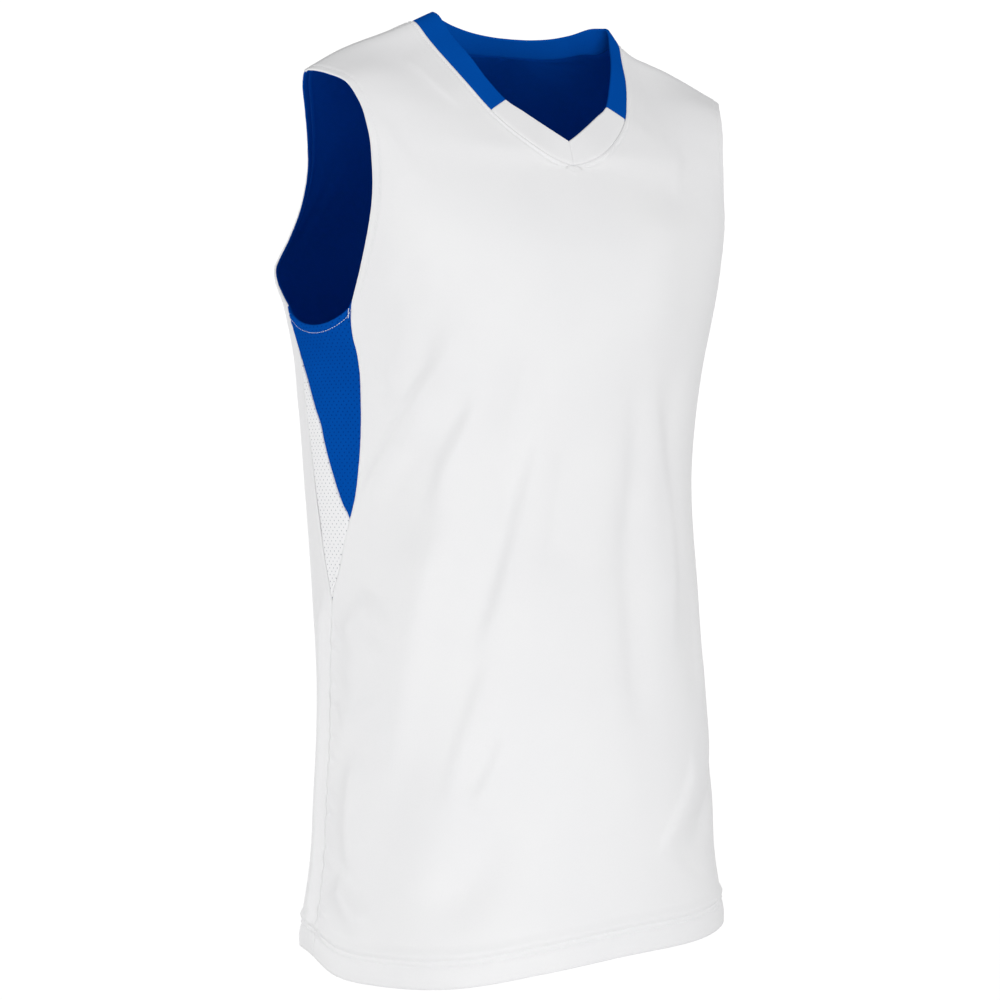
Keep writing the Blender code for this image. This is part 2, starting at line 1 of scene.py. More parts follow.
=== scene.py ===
# %% [markdown]
# # A reversible basketball jersey
# A jersey is a tube of thin knit cloth. White panels form the front and back, a blue mesh insert
# runs down each side from the armhole, and a second, blue ply lies inside. The imported solids hold
# the true shape and size, so they are loaded first.

# %% Load the frame
import math

import bmesh
import bpy
import numpy as np
from mathutils import Matrix, Vector


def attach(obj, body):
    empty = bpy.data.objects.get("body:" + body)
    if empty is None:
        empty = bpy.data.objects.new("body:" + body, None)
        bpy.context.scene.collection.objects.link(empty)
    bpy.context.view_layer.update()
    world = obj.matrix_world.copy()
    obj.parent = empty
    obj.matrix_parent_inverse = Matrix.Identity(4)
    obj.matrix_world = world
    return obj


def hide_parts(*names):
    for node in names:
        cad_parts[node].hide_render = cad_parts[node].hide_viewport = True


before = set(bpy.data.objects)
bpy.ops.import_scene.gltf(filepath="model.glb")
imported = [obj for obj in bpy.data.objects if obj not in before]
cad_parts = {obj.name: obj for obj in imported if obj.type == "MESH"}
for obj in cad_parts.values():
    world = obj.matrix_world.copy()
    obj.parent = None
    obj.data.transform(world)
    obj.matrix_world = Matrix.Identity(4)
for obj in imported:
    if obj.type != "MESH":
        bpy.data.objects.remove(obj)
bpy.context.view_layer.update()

print("nodes:", sorted(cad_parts))

# %% [markdown]
# ## The pattern
# A pattern cutter writes a garment down as a few measured lines. These tables are those lines, in
# millimetres and in degrees round the body from the centre front: body sections, side seams, hem,
# neck, armhole and the two centre lines. The solids were lofted from the same numbers.

# %% Sizes of the cloth
MM = 0.001                # the tables and the creases are in millimetres, all else in metres
OUTER_PLY = 0.0009        # white and blue outer cloth
INNER_PLY = 0.0008        # blue inner cloth
INNER_DEPTH = 0.0025      # from the outer face to the inner ply's inside face
SIDE_EASE = 0.0009        # the inner ply hangs this much freer at the sides
HEM_TURN = 0.024          # height of the turned hem
BAND_DEPTH = 0.0025       # thickness of the folded neckband
CORNER_Z = -0.232         # where the armhole's straight edges meet the side inserts
ARMHOLE_DIP = 0.0178      # how far the armhole sinks between those corners
GIRTH_RADIUS = 0.155      # turns an angle round the body into a length of cloth
LOW_LEVEL = -0.700        # rows are level above this and follow the hem below it
COLOUR_JOIN = 0.37        # share of the neckband where white meets blue
SHOULDER = 0.72           # share of the neckband at the shoulder seam
SEAM_ARCH = 0.012         # the shoulder seam bows up by a quarter of this
NECK_SLACK = 0.6          # share by which a row's curve flattens at the neck, towards the shoulder
NUDGE = 1e-3              # step for a tangent, as a share
# Heights: the top and the tips of the inserts, and where the two side seams meet below them
WHITE_TOP, BLUE_TIP, WHITE_TIP, SEAMS_MEET = -0.275, -0.4066, -0.4698, -0.474

# %% Body sections and side seams
# Height, half width, depth to the front and back of a centre, its y, squareness in thousandths
SECTIONS = np.array((
    (-800, 196.5, 128, 128, 9, 20), (-747, 193.5, 126, 126, 9.5, 20), (-689, 186.2, 121.2, 121.2, 9.5, 15),
    (-640, 184.8, 120, 120, 8, 10), (-557, 180.2, 117, 117, 10.5, 10), (-474, 179.2, 116.8, 116.8, 19.5, 10),
    (-362, 181, 118, 120.5, 31, 10), (-310, 185.2, 118.5, 126.5, 29.5, 12),
    (-267, 190, 120.5, 131.5, 26.5, 15), (-232, 198.5, 124.5, 133, 26.5, 15),
    (-200, 204, 126.5, 133, 26.5, 15),
)) * MM
# Height, then the angles of the insert's front seam, its colour line and its back seam
SEAMS = np.array((
    (-800, 93.5, 93.5, 93.5), (-690, 93, 93, 93), (-600, 92.4, 92.4, 92.4), (-538, 91.6, 91.6, 91.6),
    (-500, 89.4, 89.4, 89.4), (-474, 87.4, 87.4, 87.4), (-469.8, 87, 87, 87.8), (-449.7, 82.2, 82.2, 89.8),
    (-430, 78.8, 78.8, 91.6), (-410, 75.2, 75.2, 92.8), (-406.6, 74.5, 74.9, 93), (-395.2, 72.3, 77.6, 93.6),
    (-366.9, 69.5, 82.5, 95), (-335.1, 67.7, 87.4, 96.8), (-314.4, 67.2, 91.1, 98),
    (-293.2, 67.2, 95.4, 99.3), (-275, 68, 99.9, 100.3), (-260, 69, 102.6, 102.6), (-248, 68.6, 103.8, 103.8),
    (-232, 67, 104.5, 104.5),
)) * (MM, 1, 1, 1)
# Signed angle (the wearer's left is positive), height of the hem
HEM = np.array((
    (-180, -757), (-125, -760.5), (-94, -761), (-82, -771.5), (-62, -777), (-38, -778), (-15, -770),
    (5, -763), (30, -759.8), (66, -752.3), (94, -753), (130, -757), (180, -757),
)) * (1, MM)

# %% Neck, armhole and centre lines
# Share from the centre front to the centre back, the seam (x, y, z), the free edge (x, y, z)
NECK = np.array((
    (0, 0, -73, -116.5, 0, -66.7, -95.5), (0.08, 15.4, -72.2, -112.3, 10.5, -64, -89.3),
    (0.18, 34.3, -70, -103, 24.5, -59, -80.3), (0.27, 51.9, -63, -90, 37.5, -54.5, -71.6),
    (0.37, 68.6, -53.1, -73, 51.1, -49.3, -62.2), (0.46, 80.7, -40.5, -53.8, 62.4, -39.6, -45.6),
    (0.55, 91.7, -26.1, -33.4, 72.7, -28.7, -26.3), (0.64, 101.3, -12.5, -13.5, 82.6, -13.8, -6.4),
    (0.69, 106, -5, -2, 87.7, -5, 8.5), (0.72, 107, 0, 0, 89, 0, 11.5), (0.75, 106, 5, -1, 88.2, 4.5, 12),
    (0.8, 98, 15, -6, 81.5, 10, 11), (0.87, 74, 24, -10, 61.5, 14.5, 6.5),
    (0.94, 38, 29, -12.5, 31.5, 16, 1.5), (0.97, 19.2, 29.8, -12.9, 15.9, 16, 0),
    (1, 0, 30, -13, 0, 16, -0.5),
)) * (1, *6 * [MM])
# Share, x, y, z of the armhole edge above the corners. The shoulder tip is at 0.5.
ARMHOLE = np.array((
    (0.06, 183, -34.5, -206.6), (0.16, 180.5, -47.3, -158.9), (0.25, 179.7, -48, -124),
    (0.32, 181.1, -46, -97.7), (0.38, 186.1, -39, -74.3), (0.42, 191.9, -28.7, -58.5),
    (0.455, 200, -16.9, -51.2), (0.487, 209.2, -4.5, -46.8), (0.5, 212, 0, -47), (0.513, 211.2, 4.5, -48),
    (0.54, 204, 19.5, -55), (0.59, 191.2, 38.5, -71.9), (0.65, 181.5, 51, -95.7), (0.71, 176.2, 60, -122.1),
    (0.77, 176.5, 70.5, -150), (0.83, 179.5, 84.7, -175), (0.88, 185.5, 95.2, -197.7), (0.92, 188, 88, -211),
    (0.96, 189.5, 76.8, -222),
)) * (1, MM, MM, MM)
# Share of the way up to the shoulder, y, z. The last point is the neck seam.
CENTRE_FRONT = np.array((
    (0.2, -93.5, -180), (0.42, -73, -116.5),
)) * (1, MM, MM)
CENTRE_BACK = np.array((
    (0.2, 147.5, -165), (0.4, 120, -105), (0.55, 79, -52), (0.66, 30, -13),
)) * (1, MM, MM)
# How far the shoulders hang off true: x, then how far sideways and up
ASKEW = np.array((
    (-250, -1, -0.5), (-212, -1, 0), (-185, 0, 2.2), (-135, 0, 1.2), (-107, -3.5, 1.5), (-88, 0, 0),
    (-60, 0, -1.5), (0, 0, 0), (60, 0, 2), (80, 0, 4.5), (90, -1.2, 3), (107, -8, 1), (120, -6, -3),
    (135, -3.5, -2.4), (150, -2, -0.8), (170, -1, 1), (190, 0, 3), (210, 0, 6.5), (250, 0, 6.5),
)) * MM

# %% [markdown]
# ## Folds
# Hanging cloth is never smooth. The broad folds are in the solids too, as straight soft troughs and
# ridges. The finer creases are only here: each is a short curve drawn on the cloth, with its own
# width and depth, and a negative depth is a trough. They are given one by one, because a simulation
# would not put them where this jersey has them.

# %% Broad folds
# Girth and height of both ends, half width, depth
FOLDS = np.array((
    (-95, -255, -178, -395, 16, -4), (-112, -300, -200, -440, 15, 3.5), (-83, -290, -192, -428, 14, -4),
    (-60, -330, -150, -480, 18, 3), (-30, -315, -107, -550, 17, -4), (-72, -575, -108, -632, 16, -3),
    (50, -362, 21, -490, 15, -2.5), (90, -240, 86, -470, 18, -3), (-70, -645, -128, -735, 22, -3),
    (190, -600, 85, -690, 14, -3), (-150, -560, -185, -720, 22, -3.5), (-140, -205, -116, -230, 12, -2),
    (330, -330, 400, -520, 20, -3.5), (-320, -300, -400, -500, 20, -4), (370, -480, 415, -700, 24, -4),
    (-360, -600, -420, -720, 22, -3), (215, -430, 170, -540, 15, -3),
)) * MM

# %% Fine creases
# Half width on each side, height, then the places (signed angle, height) it passes through, from
# the top. The second width is on the side of the wearer's left. A negative height is a trough.
CREASES = (
    (6.5, 26, 5.9, (-34.4, -241), (-36.8, -260), (-40.7, -282), (-46, -305), (-52, -330), (-58.1, -354),
     (-65, -382), (-73.8, -411)),
    (6.5, 13, 4.5, (-28.7, -285), (-31.4, -315), (-35.2, -340), (-39.6, -364), (-42.7, -391), (-45.2,
     -423)),
    (26, 18, 6.1, (-41.7, -383), (-45.2, -423), (-49.7, -458), (-54.9, -503), (-58.6, -543), (-61.2,
     -583), (-64.9, -624), (-69.5, -679)),
    (6.5, 18, 4.2, (-10.4, -310), (-12.7, -343), (-16, -375), (-19.5, -407), (-23.2, -440), (-27.1,
     -472), (-31.3, -503), (-34.8, -529)),
    (26, 6.5, -2.8, (-32.1, -503), (-35.5, -529), (-39.2, -555), (-43, -586), (-46.5, -618), (-50.5,
     -652)),
    (4.5, 18, 2.8, (-25.3, -573), (-28.3, -589), (-31.5, -609), (-34.8, -628), (-37.5, -642)),
    (26, 26, -5.1, (-19.7, -552), (-23.1, -607), (-27.8, -646), (-33.9, -683), (-41.7, -713), (-48.8,
     -739)),
    (13, 18, -4.1, (15.2, -275), (18.9, -325), (18.8, -391), (15, -474), (14.4, -548), (15.9, -605)),
    (26, 10, 3, (20.4, -275), (25.6, -316), (30.1, -357), (33.2, -400), (32.9, -442), (31, -492), (29.2,
     -550)),
    (20, 26, -1.4, (3.1, -134), (-1, -169), (-1.9, -202), (-1.8, -239), (-0.1, -279)),
    (26, 26, 4, (27.2, -130), (25.1, -163), (22.5, -192), (20.8, -233), (21.1, -275)),
    (4.5, 13, -0.9, (64.5, -30), (46.7, -69), (36, -116), (29.1, -152)),
    (13, 26, 0.6, (63.7, -40), (50, -73), (41.9, -111)),
    (26, 18, -2.4, (60.4, -49), (48.7, -91), (43.7, -127), (37, -171)),
    (26, 14, -1.4, (64.8, -18), (45.2, -58), (34.4, -90)),
    (9, 6, 1.6, (60.9, -37), (45.9, -74), (38.3, -112), (34.7, -142)),
    (9, 10, -1.2, (63.6, -40), (48.1, -82), (41.2, -114)),
    (4.5, 18, 2.6, (-62, -29), (-53, -42), (-44.1, -58), (-35, -77)),
    (13, 26, -0.6, (-57.2, -67), (-51.1, -88), (-43.9, -114), (-36.3, -137)),
    (18, 4.5, 2.3, (-59.6, -72), (-53.8, -97), (-48.5, -121), (-42.2, -145)),
    (18, 4.5, 3.3, (-61, -536), (-68.4, -548), (-77.4, -561), (-87.1, -583)),
    (18, 18, 3.9, (-61.3, -503), (-71.3, -520), (-83.9, -545)),
    (13, 26, 4.5, (-64.1, -467), (-72.1, -486), (-83.3, -512)),
    (4.5, 18, 2.8, (39, -593), (36.2, -622), (29.7, -648), (23.5, -671), (19.1, -690)),
    (13, 6.5, -0.4, (22.7, -604), (20.5, -623), (18.5, -643), (17.2, -667)),
    (26, 26, -2.1, (58.3, -660), (43.1, -671), (33, -685), (27.4, -702)),
    (9, 18, 2.3, (-22.8, -267), (-26.1, -303), (-29.5, -335), (-33.3, -367)),
    (26, 26, 4.9, (-31.7, -249), (-35.9, -271), (-40.5, -297), (-46.2, -327), (-52.4, -355)),
    (13, 26, -3.6, (-16, -262), (-17.8, -299), (-21, -335), (-24.3, -371), (-28.3, -415)),
    (9, 26, 4.6, (-46.5, -232), (-51, -260), (-55.6, -291), (-59.4, -319)),
    (13, 26, -3.2, (-4.2, -326), (-6.3, -375), (-9.3, -424), (-12.8, -472)),
    (13, 26, 6, (-73.2, -584), (-76.2, -624), (-76.5, -664), (-69.5, -710)),
    (13, 4.5, -1.4, (-41, -202), (-37.6, -220), (-33, -238)),
    (13, 9, 6, (-84.3, -691), (-75.1, -715), (-65.2, -733)),
    (26, 14, -2.2, (46.1, -443), (45, -510), (43.8, -578)),
    (4, 4, -0.8, (-87.9, -550), (-85, -575)),
    (6, 6, -2.2, (-67, -268), (-82, -273), (-98, -262)),
    (7, 7, -2, (-68, -288), (-80, -292), (-93, -288)),
    (10, 10, -2.4, (-69, -322), (-80, -328), (-91, -322)),
    (6, 6, -0.8, (-71, -352), (-82, -358)),
    (6, 6, -0.8, (72, -300), (86, -306), (96, -300)),
    (6, 6, 0.7, (70, -322), (84, -330)),
    (7, 7, -1, (118, -290), (136, -350), (148, -430)),
    (7, 7, 0.9, (124, -275), (142, -330), (156, -400)),
    (8, 8, -1.1, (-118, -280), (-133, -345), (-150, -440)),
    (7, 7, 0.8, (-122, -262), (-140, -320), (-158, -390)),
    (7, 7, -0.9, (150, -210), (163, -280), (170, -360)),
    (6, 6, -0.8, (-152, -200), (-166, -262), (-172, -350)),
    (9, 9, -1.2, (-170, -480), (-163, -560), (-166, -650)),
    (8, 8, 1, (165, -520), (158, -600), (160, -690)),
    (5, 5, -0.9, (-108, -610), (-128, -640), (-146, -662)),
    (4, 4, -0.8, (-106, -655), (-124, -668), (-140, -676)),
    (5, 5, -0.9, (112, -590), (130, -630), (150, -655)),
    (8, 8, -0.9, (100, -480), (106, -560), (104, -640)),
)

# %% [markdown]
# ## Curves and surfaces
# Every piece is laid on one surface, so neighbours always meet. `track` draws a smooth curve
# through a table, `ring` gives a point of the body below the armholes, and `yoke` spans from the
# neck to the armhole above them. `hang` then folds the cloth and sets the shoulders askew.

# %% Smooth curves
def hermite(start, end, leave, arrive, s):
    """Cubic from start to end, leaving and arriving with the given tangents."""
    return (
        (2 * s**3 - 3 * s**2 + 1) * start
        + (s**3 - 2 * s**2 + s) * leave
        + (3 * s**2 - 2 * s**3) * end
        + (s**3 - s**2) * arrive
    )


def track(table, at):
    """Smooth curve through a table whose first column is the way along it."""
    rows = np.array(table, float)
    knots, values = rows[:, 0], rows[:, 1:]
    step = np.diff(knots)
    slope = np.diff(values, axis=0) / step[:, None]
    before, after = step[:-1, None], step[1:, None]
    middle = (slope[:-1] * after + slope[1:] * before) / (before + after)
    tangent = np.concatenate([slope[:1], middle, slope[-1:]])
    at = np.clip(np.asarray(at, float), knots[0], knots[-1])
    i = np.clip(np.searchsorted(knots, at, side="right") - 1, 0, len(step) - 1)
    s = ((at - knots[i]) / step[i])[..., None]
    reach = step[i][..., None]
    return hermite(values[i], values[i + 1], reach * tangent[i], reach * tangent[i + 1], s)


def smooth(x):
    x = np.clip(x, 0, 1)
    return x * x * (3 - 2 * x)


def unit(vectors):
    return vectors / np.maximum(np.linalg.norm(vectors, axis=-1, keepdims=True), 1e-12)


def bell(x, width):
    """A soft bump round zero."""
    return np.exp(-((x / width) ** 2))


# %% Depth of the folds and creases
def fold_depth(angle, z, creases):
    """How far folds push the cloth out at a signed angle (degrees) and height."""
    girth = np.radians(angle) * GIRTH_RADIUS
    total = np.zeros(np.shape(girth))
    for g0, z0, g1, z1, width, depth in FOLDS:
        run = np.array([g1 - g0, z1 - z0])
        length = np.linalg.norm(run)
        along = ((girth - g0) * run[0] + (z - z0) * run[1]) / length
        across = ((girth - g0) * run[1] - (z - z0) * run[0]) / length
        ends = smooth(along / (0.35 * length)) * smooth((length - along) / (0.35 * length))
        total += depth * ends * bell(across, width)
    for right, left, height, *places in creases:
        total += height * MM * crease(girth, z, right * MM, left * MM, np.array(places) * (1, MM))
    return total


def crease(girth, z, right, left, places):
    """A soft ridge of height 1 along a curve drawn on the cloth, fading out at both ends."""
    way = np.linspace(0, 1, len(places))
    line = track(np.column_stack([way, places]), np.linspace(0, 1, 25))
    line[:, 0] = np.radians(line[:, 0]) * GIRTH_RADIUS
    start, run = line[:-1], np.diff(line, axis=0)
    low, high = line.min(0) - 0.07, line.max(0) + 0.07
    near = (girth > low[0]) & (girth < high[0]) & (z > low[1]) & (z < high[1])
    height = np.zeros(np.shape(girth))
    if near.any():
        across, up = girth[near][:, None] - start[:, 0], z[near][:, None] - start[:, 1]
        part = np.clip((across * run[:, 0] + up * run[:, 1]) / (run**2).sum(1), 0, 1)
        gap = np.hypot(across - part * run[:, 0], up - part * run[:, 1])
        at, every = gap.argmin(1), np.arange(len(gap))
        is_left = run[at, 0] * up[every, at] > run[at, 1] * across[every, at]
        way = (at + part[every, at]) / len(run)
        profile = bell(gap[every, at], np.where(is_left, left, right))
        height[near] = profile * smooth(way / 0.3) * smooth((1 - way) / 0.3)
    return height


# %% The body, the yoke and the way it hangs
def ring(angle, z):
    """Point on the body's section at height z."""
    half, front, back, centre, square = np.moveaxis(track(SECTIONS, z), -1, 0)
    a = np.radians(angle)
    depth = np.where(np.cos(a) > 0, front, back)
    x = half * (np.sin(a) + square * np.sin(3 * a)) / (1 - square)
    y = centre - depth * (np.cos(a) - square * np.cos(3 * a)) / (1 - square)
    return np.stack(np.broadcast_arrays(x, y, z), -1)


def seam_angles(z):
    return np.moveaxis(track(SEAMS, z), -1, 0)


def armhole(share):
    """Armhole edge from the front corner (0) over the tip (0.5) to the back corner (1)."""
    front, _, back = seam_angles(CORNER_Z)
    first, last = ring(front, CORNER_Z), ring(back, CORNER_Z)
    return track(((0.0, *first), *ARMHOLE, (1.0, *last)), share)


def yoke(is_front, u, w):
    """Panel above the corners: u runs from its centre or neck to the armhole, w from 0 to the
    shoulder seam at 1. Each row is a cubic, which starts as the body's section and ends straight."""
    u, w = np.broadcast_arrays(np.asarray(u, float), np.asarray(w, float))
    front, _, back = seam_angles(CORNER_Z)
    centre_angle, seam_angle = (0.0, front) if is_front else (180.0, back)
    centre_rows = CENTRE_FRONT if is_front else CENTRE_BACK
    opens = centre_rows[-1][0]
    first = ring(centre_angle, CORNER_Z)
    centre = track(((0.0, *first[1:]), *centre_rows), np.minimum(w, opens))
    centre = np.concatenate([np.zeros(centre.shape[:-1] + (1,)), centre], -1)
    above = (w - opens) / (1 - opens)
    share = above * SHOULDER if is_front else 1 - above * (1 - SHOULDER)
    inner = np.where((w <= opens)[..., None], centre, track(NECK, share)[..., :3])
    outer = armhole(w / 2 if is_front else 1 - w / 2)
    nudge = NUDGE * (seam_angle - centre_angle)
    last = ring(seam_angle, CORNER_Z)
    chord = (np.linalg.norm(outer - inner, axis=-1) / np.linalg.norm(last - first))[..., None]
    leave = (ring(centre_angle + nudge, CORNER_Z) - first) / NUDGE
    leave = leave * chord * (1 - NECK_SLACK * w[..., None])
    arrive = (last - ring(seam_angle - nudge, CORNER_Z)) / NUDGE * chord
    straight = armhole(0.5) - track(NECK, SHOULDER)[:3]
    arch = np.array([0.0, 0.0, SEAM_ARCH])
    bare = 0.0 if is_front else opens
    blend = smooth((w - bare) / (1 - bare))[..., None]
    leave = leave * (1 - blend) + (straight + arch) * blend
    blend = smooth(w)[..., None]
    arrive = arrive * (1 - blend) + (straight - arch) * blend
    return hermite(inner, outer, leave, arrive, u[..., None])


def hang(side, points, creases=CREASES):
    """Places points of the half garment on their side, sets the shoulders askew and folds them."""
    points = points * np.array([side, 1.0, 1.0])
    half, front, _, centre, _ = np.moveaxis(track(SECTIONS, points[..., 2]), -1, 0)
    angle = np.arctan2(points[..., 0] / half, (centre - points[..., 1]) / front)
    outward = np.stack([np.sin(angle), -np.cos(angle), 0 * angle], -1)
    depth = fold_depth(np.degrees(angle), points[..., 2], creases)
    askew = track(ASKEW, points[..., 0]) * smooth((points[..., 2] + 0.12) / 0.10)[..., None]
    shift = np.stack([askew[..., 0], 0 * depth, askew[..., 1]], -1)
    return points + outward * depth[..., None] + shift


print("armhole edge from", armhole(0.0).round(3), "to", armhole(1.0).round(3))

# %% [markdown]
# ## Laying out a sheet of cloth
# `bmesh.ops.create_grid` makes a flat grid, and each of its corners is then moved to its place on
# the jersey. Rows and columns are bunched near the edges, where seams, rolled edges and stitching
# need fine detail, and spread out in between. Each piece keeps two facts at its corners: where
# it lies on the flat cloth (for the knit), and how thick its wall is there.

# %% Grids
def spread(length, first, last, cell):
    """Distances along a row: the given ones near both ends and even steps between."""
    count = int(round(0.22 / cell))
    middle = np.linspace(first[-1], length - last[-1], count + 1)[1:-1]
    return np.concatenate([first, middle, length - np.array(last[::-1])])


def rows_by_length(curve, rows, first, last, cell, widen=None):
    """Walks every row of a curve by length. curve takes shares (rows, columns)."""
    share = np.tile(np.linspace(0, 1, 129), (rows, 1))
    path = curve(share)
    step = np.linalg.norm(np.diff(path, axis=1), axis=-1)
    reach = np.concatenate([np.zeros((rows, 1)), np.cumsum(step, 1)], 1)
    widen = np.ones(rows) if widen is None else widen
    length = [spread(reach[r, -1], np.array(first) * widen[r], last, cell) for r in range(rows)]
    return np.array([np.interp(length[r], reach[r], share[r]) for r in range(rows)]), np.array(length)


def away(normals, points):
    """Turns all the normals of a grid at once, so that they point out of the garment."""
    return normals * np.sign((normals * (points - np.array((0.0, 0.02, -0.25)))).sum())


def grid_normals(points):
    """Outward normals of a grid of points, from its neighbours."""
    across, along = np.gradient(points, axis=1), np.gradient(points, axis=0)
    return away(unit(np.cross(across, along)), points)


def lay_grid(bm, points, flat, wall, outward=True):
    """Adds one grid to a bmesh, moved onto its points, with its flat place and its wall."""
    rows, columns = points.shape[:2]
    made = bmesh.ops.create_grid(bm, x_segments=columns - 1, y_segments=rows - 1, size=0.5)
    place, thick = bm.verts.layers.float_vector["flat"], bm.verts.layers.float["wall"]
    for vert in made["verts"]:
        i = round((vert.co.x + 0.5) * (columns - 1))
        j = round((vert.co.y + 0.5) * (rows - 1))
        vert.co = points[j, i]
        vert[place] = (*flat[j, i], 0.0)
        vert[thick] = wall[j, i]
    faces = {face for vert in made["verts"] for face in vert.link_faces}
    middle = points[rows // 2, columns // 2]
    for face in faces:
        face.smooth = True
    face = min(faces, key=lambda f: (f.calc_center_median() - Vector(middle)).length)
    face.normal_update()
    outside = Vector(grid_normals(points)[rows // 2, columns // 2])
    if (face.normal.dot(outside) > 0) != outward:
        bmesh.ops.reverse_faces(bm, faces=list(faces))


def add_object(name, data, finish=None):
    """Puts data into the scene as an object. A bmesh is first written to a mesh."""
    if isinstance(data, bmesh.types.BMesh):
        made, data = data, bpy.data.meshes.new(name)
        made.to_mesh(data)
        made.free()
    if finish:
        data.materials.append(finish)
    piece = bpy.data.objects.new(name, data)
    bpy.context.scene.collection.objects.link(piece)
    return piece


def new_cloth():
    bm = bmesh.new()
    bm.verts.layers.float_vector.new("flat")
    bm.verts.layers.float.new("wall")
    return bm


# %% Finishing a sheet
def finish_cloth(name, bm, finish, thickness, node):
    """Welds a sheet, gives it its wall and flat map, and lets it stand for its solid."""
    bmesh.ops.remove_doubles(bm, verts=bm.verts, dist=2e-6)
    bmesh.ops.dissolve_degenerate(bm, dist=1e-6, edges=bm.edges)
    for edge in bm.edges:
        edge.smooth = not edge.is_boundary
    piece = add_object(name, bm, finish)
    mesh = piece.data
    flat = np.empty(len(mesh.vertices) * 3, np.float32)
    mesh.attributes["flat"].data.foreach_get("vector", flat)
    corner = np.empty(len(mesh.loops), np.int32)
    mesh.loops.foreach_get("vertex_index", corner)
    laid = mesh.uv_layers.new(name="cloth")
    laid.uv.foreach_set("vector", flat.reshape(-1, 3)[corner, :2].ravel())
    if thickness:
        wall = np.empty(len(mesh.vertices), np.float32)
        mesh.attributes["wall"].data.foreach_get("value", wall)
        group = piece.vertex_groups.new(name="wall")
        for index, weight in enumerate(wall):
            group.add([index], float(weight), "REPLACE")
        ply = piece.modifiers.new("ply", "SOLIDIFY")
        ply.thickness, ply.offset = thickness, -1.0
        ply.vertex_group, ply.thickness_vertex_group = "wall", 0.05
    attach(piece, "root")
    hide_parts(node)
    print(name, len(mesh.polygons), "faces")
    return piece


# %% [markdown]
# ## Seams and edges
# A sewn seam is a narrow groove between two puffed lips, because the seam allowances lie behind
# them. A row of topstitching pulls the cloth down along its line. An armhole edge is rolled: the
# two plies are sewn face to face and turned, so each one curls towards the other and the edge is
# round. These profiles give the height of the cloth at a distance from an edge or seam.

# %% Profiles
ROLL = 0.00125            # radius of a rolled edge
NECK_STITCH = 0.0036      # topstitching beside the neck seam
ARMHOLE_STITCH = 0.0062   # topstitching beside the armhole
HEM_STITCH = (0.0182, 0.0222)      # rises of the two hem stitchings
SUNK = 0.0010             # an insert is sewn under its neighbours
PROUD = 0.0002            # a panel hardly sinks at its seams, so its edge stands over its neighbour
STRIP_RISE = 0.0052       # how far the back panel stands up beside its side seam
EDGE_STEPS = (0.0, 0.0001, 0.0004, 0.0008, 0.00125, 0.002, 0.0032, 0.0048, 0.0062, 0.0069, 0.0075, 0.0081,
              0.0089, 0.0102, 0.0122, 0.0150)
SEAM_STEPS = (0.0, 0.0004, 0.0009, 0.0015, 0.0022, 0.0029, 0.0036, 0.0043, 0.0052, 0.0064, 0.0082, 0.0110)


def rolled(distance):
    """Drop of a rolled edge."""
    inside = np.clip(1 - distance / ROLL, 0, 1)
    return -ROLL * (1 - np.sqrt(1 - inside**2))


def seam_lip(distance, sunk=0.0008):
    """A seam: the cloth sinks at the needle and puffs up beside it."""
    return -sunk * bell(distance, 0.0007) + 0.0005 * bell(distance - 0.0020, 0.0012)


def stitch_line(distance, at):
    return -0.0004 * bell(distance - at, 0.0008) + 0.0003 * bell(distance - at - 0.0025, 0.0016)


def pucker(length, distance, reach):
    """Uneven small waves that stitching draws up along an edge."""
    wave = np.sin(length * 610) + 0.7 * np.sin(length * 371 + 1.3) + 0.5 * np.sin(length * 947 + 0.4)
    return 0.00010 * wave * bell(distance, reach)


# %% [markdown]
# ## Front and back panels
# Each panel is made of two half grids that share the centre line. It starts inside at the top of
# the turned hem, runs down, round the fold and up the outside to the shoulder. So the hem is a
# true turned hem, and its lower edge is round.

# %% Rows of a panel
def hem_rows():
    """Rise above the hem edge and inward depth of the rows through the turned hem."""
    turn = [(rise, 2 * ROLL - 0.0003) for rise in (HEM_TURN - 0.001, 0.016, 0.008, 0.003)]
    angles = np.radians((-60, -30, 0, 30, 60))
    fold = [(ROLL * (1 - math.cos(a)), ROLL - 0.00015 - (ROLL - 0.00015) * math.sin(a)) for a in angles[::-1]]
    rise = (0.003, 0.006, 0.010, 0.014, 0.0165, 0.0174, 0.0182, 0.0190, 0.0202, 0.0214, 0.0222, 0.0230,
            0.0243, 0.0262, 0.0285, 0.0320)
    return turn + fold[::-1] + [(r, 0.0) for r in rise]


def panel_levels(cell, turned):
    """Rise, mix and level of each body row: a row lies at (hem + rise) * (1 - mix) + level * mix."""
    hem = hem_rows() if turned else [(0.027, 0.0)]
    top = hem[-1][0]
    rows = [(rise, 0.0, 0.0, depth) for rise, depth in hem]
    blend = np.linspace(0, 1, int(0.045 / cell) + 1)[1:]
    rows += [(top, mix, LOW_LEVEL, 0.0) for mix in blend]
    levels = np.linspace(LOW_LEVEL, CORNER_Z, int(round((CORNER_Z - LOW_LEVEL) / cell)) + 1)[1:]
    rows += [(0.0, 1.0, level, 0.0) for level in levels]
    return np.array(rows)


def yoke_shares(is_front, cell):
    """Rows above the corners, closer where the neck opens."""
    opens = (CENTRE_FRONT if is_front else CENTRE_BACK)[-1][0]
    below = np.linspace(0, opens, int(round(0.13 / cell)))[1:]
    above = np.linspace(opens, 1, int(round(0.17 / cell)))[1:]
    fine = opens + np.array([-0.040, -0.032, -0.026, -0.020, -0.015, -0.010, -0.005, 0.004, 0.008, 0.013])
    keep = np.concatenate([below, above])
    return np.unique(np.concatenate([keep[np.abs(keep - opens) > 0.018], fine, [opens]])), opens


